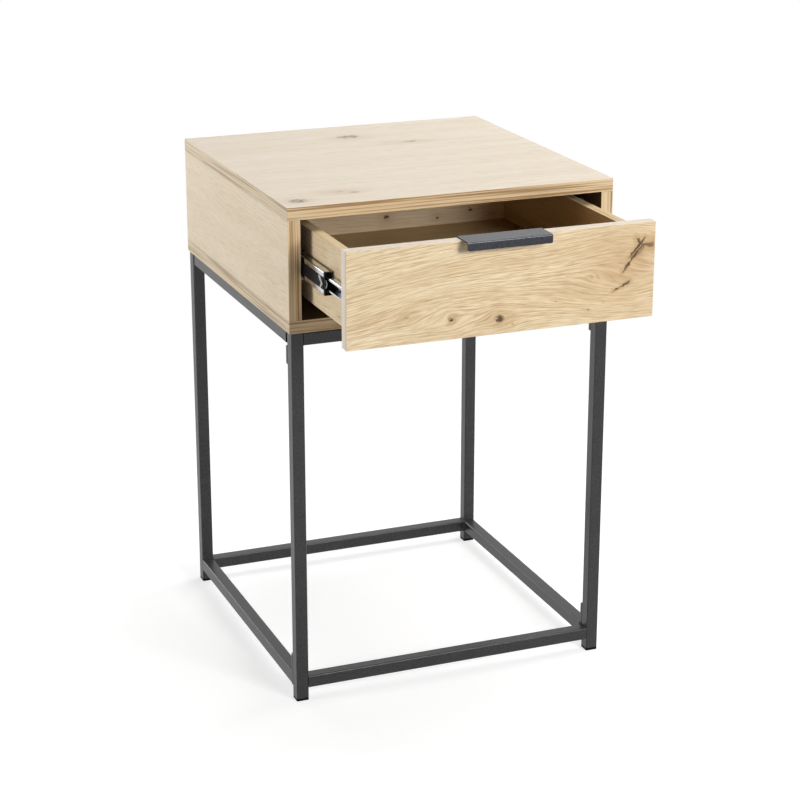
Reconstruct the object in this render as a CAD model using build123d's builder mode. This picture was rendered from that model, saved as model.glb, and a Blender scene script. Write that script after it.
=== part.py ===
from build123d import *
import math
import os

os.makedirs("parts", exist_ok=True)

# Side table: an oak-faced box with one inset drawer, on a frame of square steel tube.
# Millimetres. +Z is up, the drawer opens towards -Y, and +X is the right side seen from the front.
# The drawer stands partly open at rest. The origin is on the floor, in the middle of the whole outline.

# Overall sizes
width = 400.0
depth = 400.0
height = 600.0
carcass_height = 145.0

# Boards
board = 15.0
back_board = 3.0
back_inset = 10.0
groove_depth = 5.0
edge_round = 0.5

# Clearances
fit_gap = 0.1
groove_gap = 0.15
running_gap = 0.3
hinge_gap = 0.08

# Frame
tube = 15.0
tube_wall = 1.5
tube_corner = 1.5
frame_inset = 2.0
stretcher_low = 15.5
end_plate = 4.0
end_plate_tongue = 27.0
end_plate_chamfer = 3.0
plate_neck = 11.0
plate_neck_drop = 3.0
rear_spacer = 6.0
rear_spacer_width = 9.0
foot_pad = 3.0
foot_plug = 16.0
foot_rib = 2.0
foot_rib_count = 3
foot_neck = 0.8

# Frame fasteners
bolt_radius = 2.5
bolt_length = 16.0
bolt_head_radius = 4.75
bolt_head = 2.75
bolt_socket_radius = 1.7
bolt_socket = 1.6
nut_radius = 3.5
nut_bulge_radius = 4.4
nut_bulge = 3.0
nut_length = 11.0
rail_screw_radius = 2.0
rail_screw_bite = 12.0
rail_screw_head_radius = 4.0
rail_screw_head = 2.4
rail_screw_inset = 70.0
cross_width = 0.9
cross_depth = 1.3

# Carcass fittings
cam_radius = 7.5
cam_depth = 12.0
cam_reach = 24.0
cam_inset = 50.0
cam_slot = 1.4
cam_bolt_radius = 2.5
cam_bolt_head_radius = 3.1
cam_bolt_head = 4.0
cam_bolt_thread_radius = 3.5
cam_bolt_thread = 9.0
dowel_radius = 4.0
dowel_length = 30.0
dowel_in_panel = 10.0
dowel_inset = 96.0
dowel_chamfer = 0.8

# Drawer
drawer_open = 138.0
front_side_gap = 2.25
front_end_gap = 3.0
drawer_side = 12.0
drawer_tail = 0.5
side_rise = 15.0
side_drop = 10.0
base_board = 3.0
base_rise = 15.0
base_groove = 6.0

# Drawer fittings
front_dowel_radius = 3.0
front_dowel_length = 24.0
front_dowel_in_front = 9.0
front_dowel_low = 8.0
front_dowel_high = 12.0
front_cam_radius = 6.0
front_cam_depth = 9.0
front_cam_reach = 18.0
front_bolt_radius = 2.2
front_bolt_head_radius = 2.7
front_bolt_head = 3.5
front_bolt_thread_radius = 3.0
front_bolt_thread = 9.0
back_screw_radius = 2.0
back_screw_head_radius = 4.0
back_screw_length = 35.0
back_screw_low = 28.0
back_screw_high = 16.0

# Handle
handle_length = 100.0
handle_sheet = 1.5
handle_reach = 15.0
handle_lip = 10.0
handle_flange = 16.0
handle_bend = 0.4
handle_corner = 2.0
handle_screw_pitch = 64.0
handle_screw_drop = 9.0
handle_screw_radius = 1.75
handle_screw_bite = 10.5
handle_screw_head_radius = 3.5
handle_screw_head = 2.0

# Runners
runner_space = 12.7
runner_rear_gap = 20.5
runner_setback = 1.5
runner_height = 35.0
runner_sheet = 1.0
runner_bend = 0.9
outer_reach = 10.0
middle_reach = 11.0
runner_lip = 2.0
middle_share = 0.64
ball_radius = 1.5
ball_pitch = 12.0
ball_count = 8
cage_sheet = 0.5
cage_bend = 0.3
cage_margin = 13.0
pocket_gap = 0.15
member_gap = 1.0
bumper = 4.0
bumper_gap = 0.5
runner_screw_radius = 1.75
runner_screw_head_radius = 3.2
runner_screw_bite = 9.0
runner_screw_inset = 30.0
runner_screw_count = 3

# Release levers
lever_pivot = 250.0
lever_pin_radius = 1.5
lever_hub_radius = 4.2
lever_tip_radius = 2.6
lever_length = 36.0
lever_thickness = 4.0

# Places of the carcass, worked out from the sizes above
front_y = (handle_reach + drawer_open - depth) / 2
mid_y = front_y + depth / 2
back_y = front_y + depth
carcass_low = height - carcass_height
opening_low = carcass_low + board
opening_high = height - board
opening_mid = (opening_low + opening_high) / 2
inner_x = width / 2 - board
side_mid_x = width / 2 - board / 2
groove_width = back_board + 2 * groove_gap
groove_y = back_y - back_inset - back_board / 2
left_and_right = {"left": -1, "right": 1}
front_and_rear = {"front": -1, "rear": 1}

# Places of the frame
leg_x = width / 2 - frame_inset - tube / 2
leg_y = depth / 2 - tube / 2
tube_bore = tube - 2 * tube_wall
top_rail_z = carcass_low - tube / 2
stretcher_z = stretcher_low + tube / 2
cross_rail_length = 2 * leg_x - tube
side_rail_front_y = front_y + tube + end_plate
stretcher_back_y = back_y - tube
top_rail_back_y = stretcher_back_y - rear_spacer
frame_bolt_high = carcass_low - tube - end_plate_tongue / 2
frame_bolt_low = stretcher_low + tube + end_plate_tongue / 2

# Reach of the runners: they fill the carcass from behind the drawer front to a gap before the back board
runner_front_y = front_y + board + runner_setback
runner_back_y = back_y - back_inset - back_board - runner_rear_gap
runner_mid_y = (runner_front_y + runner_back_y) / 2
runner_length = runner_back_y - runner_front_y

# Places of the drawer at rest. Its box reaches a little past the back of the runners.
face_y = front_y - drawer_open
box_front_y = face_y + board
box_back_y = runner_back_y + drawer_tail - drawer_open
drawer_length = box_back_y - box_front_y
box_mid_y = (box_front_y + box_back_y) / 2
front_low = opening_low + front_end_gap
front_high = opening_high - front_end_gap
front_half_width = inner_x - front_side_gap
side_low = front_low + side_rise
side_high = front_high - side_drop
side_outer_x = inner_x - runner_space
side_inner_x = side_outer_x - drawer_side
side_centre_x = side_outer_x - drawer_side / 2
side_mid_z = (side_low + side_high) / 2
base_z = side_low + base_rise + base_board / 2
base_slot = base_board + 2 * groove_gap

# Section of the runners. Each u is a distance from the carcass side, and each v a height from the middle.
runner_z = side_mid_z
middle_shift = middle_share * drawer_open
outer_cage_shift = middle_share / 2 * drawer_open
inner_cage_shift = (middle_share + 1) / 2 * drawer_open
ball_space = 2 * ball_radius + 2 * running_gap
outer_half = runner_height / 2
outer_cage_u = runner_sheet + running_gap + cage_sheet / 2
outer_cage_v = outer_half - runner_sheet - running_gap - ball_radius
middle_half = outer_half - runner_sheet - ball_space
middle_web_u = runner_sheet + cage_sheet + 2 * running_gap
inner_cage_u = middle_web_u + runner_sheet + running_gap + cage_sheet / 2
inner_cage_v = middle_half - runner_sheet - running_gap - ball_radius
member_half = middle_half - runner_sheet - ball_space
member_tip_u = inner_cage_u + cage_sheet / 2 + member_gap
outer_ball_u = (outer_cage_u + outer_reach - runner_sheet) / 2
inner_ball_u = (member_tip_u + middle_reach - runner_sheet) / 2
cage_length = (ball_count - 1) * ball_pitch + 2 * cage_margin
screw_step = (runner_length - 2 * runner_screw_inset) / (runner_screw_count - 1)
screw_offsets = [runner_screw_inset + i * screw_step for i in range(runner_screw_count)]
lever_y = runner_front_y - drawer_open + lever_pivot
lever_outer_u = runner_space - runner_sheet - running_gap


def save(builder, name):
    """Label a finished piece and write its file."""
    builder.part.label = name
    export_step(builder.part, f"parts/{name}.step")


def facing(x, y, z, direction):
    """Plane at a point, looking out along a direction, for a hole or a pin that starts there."""
    return Plane(origin=(x, y, z), z_dir=direction)


def soft_board(size, centre):
    """Board with lightly rounded edges, added to the piece in hand."""
    with Locations(centre):
        blank = Box(*size)
    fillet(blank.edges(), edge_round)


def cut_holes(places, radius, length):
    """Round blind holes at a list of planes that look out of the surface."""
    with Locations(*places):
        Hole(radius, depth=length)


def pins(places, radius, length):
    """Round pins that run inwards from a list of planes."""
    with Locations(*places):
        Cylinder(radius, length, align=(Align.CENTER, Align.CENTER, Align.MAX))


def heads(places, radius, length):
    """Round heads that stand outwards on a list of planes."""
    with Locations(*places):
        Cylinder(radius, length, align=(Align.CENTER, Align.CENTER, Align.MIN))


def cross_recess(places, head, radius):
    """Cross-shaped driver recess in the heads that stand on a list of planes."""
    with Locations(*[place.offset(head) for place in places]):
        Box(radius, cross_width, 2 * cross_depth, mode=Mode.SUBTRACT)
        Box(cross_width, radius, 2 * cross_depth, mode=Mode.SUBTRACT)


def countersunk_screws(places, head_radius, radius, length):
    """Screws with sunk conical heads, flush with a list of planes."""
    cone = head_radius - radius
    with Locations(*places):
        with Locations((0, 0, -cone / 2)):
            Cone(radius, head_radius, cone)
        Cylinder(radius, length, align=(Align.CENTER, Align.CENTER, Align.MAX))


def countersunk_holes(places, head_radius, radius, length):
    """Holes for sunk heads, a named clearance wider than the screws."""
    with Locations(*places):
        CounterSinkHole(radius + fit_gap, head_radius + fit_gap, length + fit_gap, counter_sink_angle=90)


def square_tube(plane, length):
    """Square tube that runs along a plane's normal, added to the piece in hand."""
    with BuildSketch(plane) as section:
        RectangleRounded(tube, tube, tube_corner)
        Rectangle(tube_bore, tube_bore, mode=Mode.SUBTRACT)
    extrude(section.sketch, amount=length)


def runner_profile(side, points, bend, sheet, back, length):
    """Bent strip with the given centre line of (u, v) points, running forwards from its back end."""
    line = [(side * (inner_x - u), runner_z + v) for u, v in points]
    with BuildSketch(Plane.XZ.offset(-back)) as section:
        with BuildLine():
            FilletPolyline(*line, radius=bend)
        trace(line_width=sheet)
    extrude(section.sketch, amount=length)


# Where the carcass fittings go: each entry is side, y, end of the side panel, and up or down from it
joint_ends = [(opening_low, -1), (opening_high, 1)]
cam_rows = [front_y + cam_inset, back_y - cam_inset]
dowel_rows = [front_y + dowel_inset, back_y - dowel_inset]
cam_joints = [(s, y, z, e) for s in (-1, 1) for y in cam_rows for z, e in joint_ends]
dowel_joints = [(s, y, z, e) for s in (-1, 1) for y in dowel_rows for z, e in joint_ends]
rail_screw_rows = [front_y + rail_screw_inset, back_y - rail_screw_inset]
rail_screw_spots = [(s * leg_x, y) for s in (-1, 1) for y in rail_screw_rows]


def panel_holes(level, end):
    """Dowel, bolt and back-board seats in the inner face of the top or bottom panel."""
    dowels = [facing(s * side_mid_x, y, z, (0, 0, -e)) for s, y, z, e in dowel_joints if e == end]
    bolts = [facing(s * side_mid_x, y, z, (0, 0, -e)) for s, y, z, e in cam_joints if e == end]
    cut_holes(dowels, dowel_radius + fit_gap, dowel_in_panel + fit_gap)
    cut_holes(bolts, cam_bolt_thread_radius + fit_gap, cam_bolt_thread + fit_gap)
    with Locations((0, groove_y, level)):
        Box(2 * (inner_x + groove_depth), groove_width, 2 * groove_depth, mode=Mode.SUBTRACT)


# Top and bottom panels
with BuildPart() as top_panel:
    soft_board((width, depth, board), (0, mid_y, height - board / 2))
    panel_holes(opening_high, 1)
save(top_panel, "top_panel")

with BuildPart() as bottom_panel:
    soft_board((width, depth, board), (0, mid_y, carcass_low + board / 2))
    panel_holes(opening_low, -1)
    screw_holes = [facing(x, y, carcass_low, (0, 0, -1)) for x, y in rail_screw_spots]
    cut_holes(screw_holes, rail_screw_radius + fit_gap, rail_screw_bite + fit_gap)
save(bottom_panel, "bottom_panel")

# Side panels, with seats for dowels, cams, the back board and the runner screws
outer_screw_ys = [runner_front_y + offset for offset in screw_offsets]
for name, side in left_and_right.items():
    inward = (-side, 0, 0)
    with BuildPart() as side_panel:
        soft_board((board, depth, opening_high - opening_low), (side * side_mid_x, mid_y, opening_mid))
        dowels = [facing(s * side_mid_x, y, z, (0, 0, e)) for s, y, z, e in dowel_joints if s == side]
        cut_holes(dowels, dowel_radius + fit_gap, dowel_length - dowel_in_panel + fit_gap)
        bolts = [facing(s * side_mid_x, y, z, (0, 0, e)) for s, y, z, e in cam_joints if s == side]
        cut_holes(bolts, cam_bolt_head_radius + fit_gap, cam_reach)
        cams = [facing(s * inner_x, y, z - e * cam_reach, inward) for s, y, z, e in cam_joints if s == side]
        cut_holes(cams, cam_radius + fit_gap, cam_depth + fit_gap)
        with Locations((side * inner_x, groove_y, opening_mid)):
            Box(2 * groove_depth, groove_width, opening_high - opening_low, mode=Mode.SUBTRACT)
        screws = [facing(side * inner_x, y, runner_z, inward) for y in outer_screw_ys]
        sunk = runner_screw_head_radius - runner_sheet
        countersunk_holes(screws, sunk, runner_screw_radius, runner_screw_bite)
    save(side_panel, f"{name}_side_panel")

# Back board, held in the grooves
with BuildPart() as back_panel:
    with Locations((0, groove_y, opening_mid)):
        reach = 2 * (groove_depth - groove_gap)
        Box(2 * inner_x + reach, back_board, opening_high - opening_low + reach)
save(back_panel, "back_panel")

# Dowels and cam fittings that hold the carcass together
with BuildPart() as carcass_dowels:
    starts = [facing(s * side_mid_x, y, z + e * dowel_in_panel, (0, 0, e)) for s, y, z, e in dowel_joints]
    pins(starts, dowel_radius, dowel_length)
    chamfer(carcass_dowels.edges().filter_by(GeomType.CIRCLE), dowel_chamfer)
save(carcass_dowels, "carcass_dowels")

with BuildPart() as carcass_cams:
    seats = [facing(s * inner_x, y, z - e * cam_reach, (-s, 0, 0)) for s, y, z, e in cam_joints]
    pins(seats, cam_radius, cam_depth)
    rim = cam_reach - cam_radius
    throats = [facing(s * side_mid_x, y, z - e * rim, (0, 0, e)) for s, y, z, e in cam_joints]
    cut_holes(throats, cam_bolt_head_radius + fit_gap, cam_radius + cam_bolt_head / 2 + fit_gap)
    with Locations(*[(s * inner_x, y, z - e * cam_reach) for s, y, z, e in cam_joints]):
        Box(2 * cam_slot, cam_slot, cam_radius, mode=Mode.SUBTRACT)
save(carcass_cams, "carcass_cam_locks")

with BuildPart() as carcass_bolts:
    mouths = [facing(s * side_mid_x, y, z, (0, 0, e)) for s, y, z, e in cam_joints]
    heads(mouths, cam_bolt_thread_radius, cam_bolt_thread)
    pins(mouths, cam_bolt_radius, cam_reach)
    ends = [mouth.offset(cam_bolt_head / 2 - cam_reach) for mouth in mouths]
    pins(ends, cam_bolt_head_radius, cam_bolt_head)
save(carcass_bolts, "carcass_cam_bolts")

# Legs. The front ones take rivet nuts in the faces that look backwards.
bolt_spots = [(s * leg_x, z) for s in (-1, 1) for z in (frame_bolt_low, frame_bolt_high)]
nut_seats = [facing(x, front_y + tube, z, (0, 1, 0)) for x, z in bolt_spots]
for end_name, end in front_and_rear.items():
    for side_name, side in left_and_right.items():
        with BuildPart() as leg:
            square_tube(Plane((side * leg_x, mid_y + end * leg_y, foot_pad)), carcass_low - foot_pad)
            if end_name == "front":
                seats = [seat for seat in nut_seats if seat.origin.X * side > 0]
                cut_holes(seats, nut_radius + fit_gap, 2 * tube_wall)
        save(leg, f"{end_name}_{side_name}_leg")

# Cross rails and cross stretchers, welded between the legs of the front and rear frames
for end_name, end in front_and_rear.items():
    for level_name, level in (("top_rail", top_rail_z), ("stretcher", stretcher_z)):
        with BuildPart() as cross_tube:
            start = Plane(origin=(-cross_rail_length / 2, mid_y + end * leg_y, level), z_dir=(1, 0, 0))
            square_tube(start, cross_rail_length)
        save(cross_tube, f"{end_name}_{level_name}")

# Side rails and side stretchers, welded to the rear legs and bolted to the front ones
for side_name, side in left_and_right.items():
    for level_name, level, end_y in (
        ("top_rail", top_rail_z, top_rail_back_y),
        ("stretcher", stretcher_z, stretcher_back_y),
    ):
        with BuildPart() as side_tube:
            start = Plane(origin=(side * leg_x, side_rail_front_y, level), z_dir=(0, 1, 0))
            square_tube(start, end_y - side_rail_front_y)
            if level_name == "top_rail":
                spots = [(x, y) for x, y in rail_screw_spots if x * side > 0]
                drilled = [facing(x, y, carcass_low, (0, 0, 1)) for x, y in spots]
                cut_holes(drilled, rail_screw_radius + fit_gap, 2 * tube)
        save(side_tube, f"{side_name}_{level_name}")


def tongue(side, root, tip):
    """Plate outline that runs up or down from its root, with the outer corner cut off at its tip."""
    near = side * (leg_x - tube / 2)
    far = side * (leg_x + tube / 2)
    cut = math.copysign(end_plate_chamfer, tip - root)
    cut_x = far - side * end_plate_chamfer
    Polygon((near, root), (near, tip), (cut_x, tip), (far, tip - cut), (far, root), align=None)


# End plates of the side rails. The lower ones cover the stretcher, and the upper ones narrow to a neck.
with BuildPart() as end_plates:
    neck_low = carcass_low - tube - plate_neck_drop
    with BuildSketch(Plane.XZ.offset(-side_rail_front_y)):
        for side in (-1, 1):
            tongue(side, stretcher_low, stretcher_low + tube + end_plate_tongue)
            tongue(side, neck_low, carcass_low - tube - end_plate_tongue)
            with Locations((side * leg_x, (carcass_low + neck_low) / 2)):
                Rectangle(plate_neck, carcass_low - neck_low)
    extrude(amount=end_plate)
    bolt_faces = [facing(x, side_rail_front_y, z, (0, 1, 0)) for x, z in bolt_spots]
    cut_holes(bolt_faces, bolt_radius + fit_gap, 2 * end_plate)
    with Locations(*[(s * leg_x, stretcher_back_y - rear_spacer / 2, top_rail_z) for s in (-1, 1)]):
        Box(rear_spacer_width, rear_spacer, tube)
save(end_plates, "rail_end_plates")

# Frame bolts and the rivet nuts that they turn into
with BuildPart() as frame_bolts:
    heads(bolt_faces, bolt_head_radius, bolt_head)
    rims = frame_bolts.edges().filter_by(GeomType.CIRCLE)
    chamfer(rims, bolt_head / 4)
    pins(bolt_faces, bolt_radius, bolt_length)
    with BuildSketch(*[face.offset(bolt_head - bolt_socket) for face in bolt_faces]):
        RegularPolygon(bolt_socket_radius, 6)
    extrude(amount=bolt_socket, mode=Mode.SUBTRACT)
save(frame_bolts, "frame_bolts")

with BuildPart() as rivet_nuts:
    pins(nut_seats, nut_radius, nut_length)
    pins([seat.offset(-tube_wall) for seat in nut_seats], nut_bulge_radius, nut_bulge)
    cut_holes(nut_seats, bolt_radius + fit_gap, 2 * nut_length)
save(rivet_nuts, "frame_rivet_nuts")

# Screws that hold the carcass down from below the side rails
with BuildPart() as carcass_screws:
    rail_faces = [facing(x, y, carcass_low - tube, (0, 0, -1)) for x, y in rail_screw_spots]
    heads(rail_faces, rail_screw_head_radius, rail_screw_head)
    chamfer(carcass_screws.edges().filter_by(GeomType.CIRCLE), rail_screw_head / 4)
    pins(rail_faces, rail_screw_radius, tube + rail_screw_bite)
    cross_recess(rail_faces, rail_screw_head, rail_screw_head_radius)
save(carcass_screws, "carcass_screws")

# Feet: a pad under the leg and a ribbed plug inside it
plug_width = tube_bore - 2 * fit_gap
rib_step = (foot_plug - foot_rib) / foot_rib_count
for end_name, end in front_and_rear.items():
    for side_name, side in left_and_right.items():
        foot_x = side * leg_x
        foot_y = mid_y + end * leg_y
        with BuildPart() as foot:
            with BuildSketch(Plane((foot_x, foot_y, 0))):
                RectangleRounded(tube, tube, tube_corner)
            extrude(amount=foot_pad)
            with BuildSketch(Plane((foot_x, foot_y, foot_pad))):
                Rectangle(plug_width - 2 * foot_neck, plug_width - 2 * foot_neck)
            extrude(amount=foot_plug)
            rib_levels = [foot_pad + (i + 1) * rib_step for i in range(foot_rib_count)]
            with Locations(*[(foot_x, foot_y, z) for z in rib_levels]):
                Box(plug_width, plug_width, foot_rib)
        save(foot, f"{end_name}_{side_name}_foot")

# Drawer front, with seats for dowels, bolts, the base board and the handle screws
front_dowel_levels = [side_low + front_dowel_low, side_high - front_dowel_high]
dowel_spots = [(s * side_centre_x, z) for s in (-1, 1) for z in front_dowel_levels]
front_cam_spots = [(s, s * side_centre_x, runner_z) for s in (-1, 1)]
handle_spots = [(s * handle_screw_pitch / 2, front_high - handle_screw_drop) for s in (-1, 1)]
with BuildPart() as drawer_front:
    soft_board(
        (2 * front_half_width, board, front_high - front_low),
        (0, face_y + board / 2, (front_low + front_high) / 2),
    )
    backwards = (0, 1, 0)
    dowels = [facing(x, box_front_y, z, backwards) for x, z in dowel_spots]
    cut_holes(dowels, front_dowel_radius + fit_gap, front_dowel_in_front + fit_gap)
    bolts = [facing(x, box_front_y, z, backwards) for _, x, z in front_cam_spots]
    cut_holes(bolts, front_bolt_thread_radius + fit_gap, front_bolt_thread + fit_gap)
    screws = [facing(x, box_front_y, z, backwards) for x, z in handle_spots]
    cut_holes(screws, handle_screw_radius + fit_gap, handle_screw_bite + fit_gap)
    with Locations((0, box_front_y, base_z)):
        Box(2 * (side_inner_x + base_groove), 2 * base_groove, base_slot, mode=Mode.SUBTRACT)
save(drawer_front, "drawer_front")

# Drawer sides
member_screw_ys = [runner_front_y - drawer_open + offset for offset in screw_offsets]
back_mid_y = box_back_y - drawer_side / 2
back_screw_levels = [side_low + back_screw_low, side_high - back_screw_high]
for name, side in left_and_right.items():
    outward = (side, 0, 0)
    with BuildPart() as drawer_wall:
        soft_board(
            (drawer_side, drawer_length, side_high - side_low),
            (side * side_centre_x, box_mid_y, side_mid_z),
        )
        dowels = [facing(x, box_front_y, z, (0, -1, 0)) for x, z in dowel_spots if x * side > 0]
        cut_holes(dowels, front_dowel_radius + fit_gap, front_dowel_length - front_dowel_in_front + fit_gap)
        bolt_mouth = facing(side * side_centre_x, box_front_y, runner_z, (0, -1, 0))
        cut_holes([bolt_mouth], front_bolt_head_radius + fit_gap, front_cam_reach)
        cam_seat = facing(side * side_inner_x, box_front_y + front_cam_reach, runner_z, (-side, 0, 0))
        cut_holes([cam_seat], front_cam_radius + fit_gap, front_cam_depth + fit_gap)
        screws = [facing(side * side_outer_x, back_mid_y, z, outward) for z in back_screw_levels]
        countersunk_holes(screws, back_screw_head_radius, back_screw_radius, back_screw_length)
        runner_screws = [facing(side * side_outer_x, y, runner_z, outward) for y in member_screw_ys]
        sunk = runner_screw_head_radius - runner_sheet
        countersunk_holes(runner_screws, sunk, runner_screw_radius, runner_screw_bite)
        with Locations((side * side_inner_x, box_mid_y, base_z)):
            Box(2 * base_groove, drawer_length, base_slot, mode=Mode.SUBTRACT)
    save(drawer_wall, f"drawer_{name}_side")

# Drawer back, between the sides
with BuildPart() as drawer_back:
    soft_board((2 * side_inner_x, drawer_side, side_high - side_low), (0, back_mid_y, side_mid_z))
    for side in (-1, 1):
        screws = [facing(side * side_inner_x, back_mid_y, z, (side, 0, 0)) for z in back_screw_levels]
        cut_holes(screws, back_screw_radius + fit_gap, back_screw_length - drawer_side + fit_gap)
    with Locations((0, box_back_y - drawer_side, base_z)):
        Box(2 * side_inner_x, 2 * base_groove, base_slot, mode=Mode.SUBTRACT)
save(drawer_back, "drawer_back")

# Drawer base, held in the grooves of all four walls
with BuildPart() as drawer_base:
    base_reach = base_groove - groove_gap
    base_front = box_front_y - base_reach
    base_back = box_back_y - drawer_side + base_reach
    with Locations((0, (base_front + base_back) / 2, base_z)):
        Box(2 * (side_inner_x + base_reach), base_back - base_front, base_board)
save(drawer_base, "drawer_base")

# Dowels, cams, bolts and screws of the drawer box
with BuildPart() as drawer_dowels:
    starts = [facing(x, box_front_y - front_dowel_in_front, z, (0, -1, 0)) for x, z in dowel_spots]
    pins(starts, front_dowel_radius, front_dowel_length)
    chamfer(drawer_dowels.edges().filter_by(GeomType.CIRCLE), dowel_chamfer)
save(drawer_dowels, "drawer_dowels")

with BuildPart() as drawer_cams:
    cam_y = box_front_y + front_cam_reach
    seats = [facing(s * side_inner_x, cam_y, z, (-s, 0, 0)) for s, _, z in front_cam_spots]
    pins(seats, front_cam_radius, front_cam_depth)
    throats = [facing(x, cam_y - front_cam_radius, z, (0, -1, 0)) for _, x, z in front_cam_spots]
    cut_holes(throats, front_bolt_head_radius + fit_gap, front_cam_radius + front_bolt_head / 2 + fit_gap)
    with Locations(*[(s * side_inner_x, cam_y, z) for s, _, z in front_cam_spots]):
        Box(2 * cam_slot, front_cam_radius, cam_slot, mode=Mode.SUBTRACT)
save(drawer_cams, "drawer_cam_locks")

with BuildPart() as drawer_bolts:
    mouths = [facing(x, box_front_y, z, (0, -1, 0)) for _, x, z in front_cam_spots]
    heads(mouths, front_bolt_thread_radius, front_bolt_thread)
    pins(mouths, front_bolt_radius, front_cam_reach)
    ends = [mouth.offset(front_bolt_head / 2 - front_cam_reach) for mouth in mouths]
    pins(ends, front_bolt_head_radius, front_bolt_head)
save(drawer_bolts, "drawer_cam_bolts")

with BuildPart() as back_screws:
    faces = [facing(s * side_outer_x, back_mid_y, z, (s, 0, 0)) for s in (-1, 1) for z in back_screw_levels]
    countersunk_screws(faces, back_screw_head_radius, back_screw_radius, back_screw_length)
    cross_recess(faces, 0, back_screw_head_radius)
save(back_screws, "drawer_back_screws")

# Handle: one bent strip over the front's top edge, with a lip to pull on and a flange screwed on behind
lip_y = face_y - handle_reach + handle_sheet / 2
plate_z = front_high + handle_sheet / 2
flange_y = box_front_y + handle_sheet / 2
with BuildPart() as handle:
    with BuildSketch(Plane.YZ.offset(-handle_length / 2)):
        with BuildLine():
            FilletPolyline(
                (flange_y, front_high - handle_flange),
                (flange_y, plate_z),
                (lip_y, plate_z),
                (lip_y, front_high + handle_sheet - handle_lip),
                radius=handle_bend + handle_sheet / 2,
            )
        trace(line_width=handle_sheet)
    extrude(amount=handle_length)
    fillet(handle.edges().filter_by(Axis.Y).filter_by(lambda edge: edge.length < 2 * handle_sheet), handle_corner)
    flange_faces = [facing(x, box_front_y + handle_sheet, z, (0, 1, 0)) for x, z in handle_spots]
    cut_holes(flange_faces, handle_screw_radius + fit_gap, 2 * handle_sheet)
save(handle, "drawer_handle")

with BuildPart() as handle_screws:
    heads(flange_faces, handle_screw_head_radius, handle_screw_head)
    chamfer(handle_screws.edges().filter_by(GeomType.CIRCLE), handle_screw_head / 4)
    pins(flange_faces, handle_screw_radius, handle_sheet + handle_screw_bite)
    cross_recess(flange_faces, handle_screw_head, handle_screw_head_radius)
save(handle_screws, "handle_screws")

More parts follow.
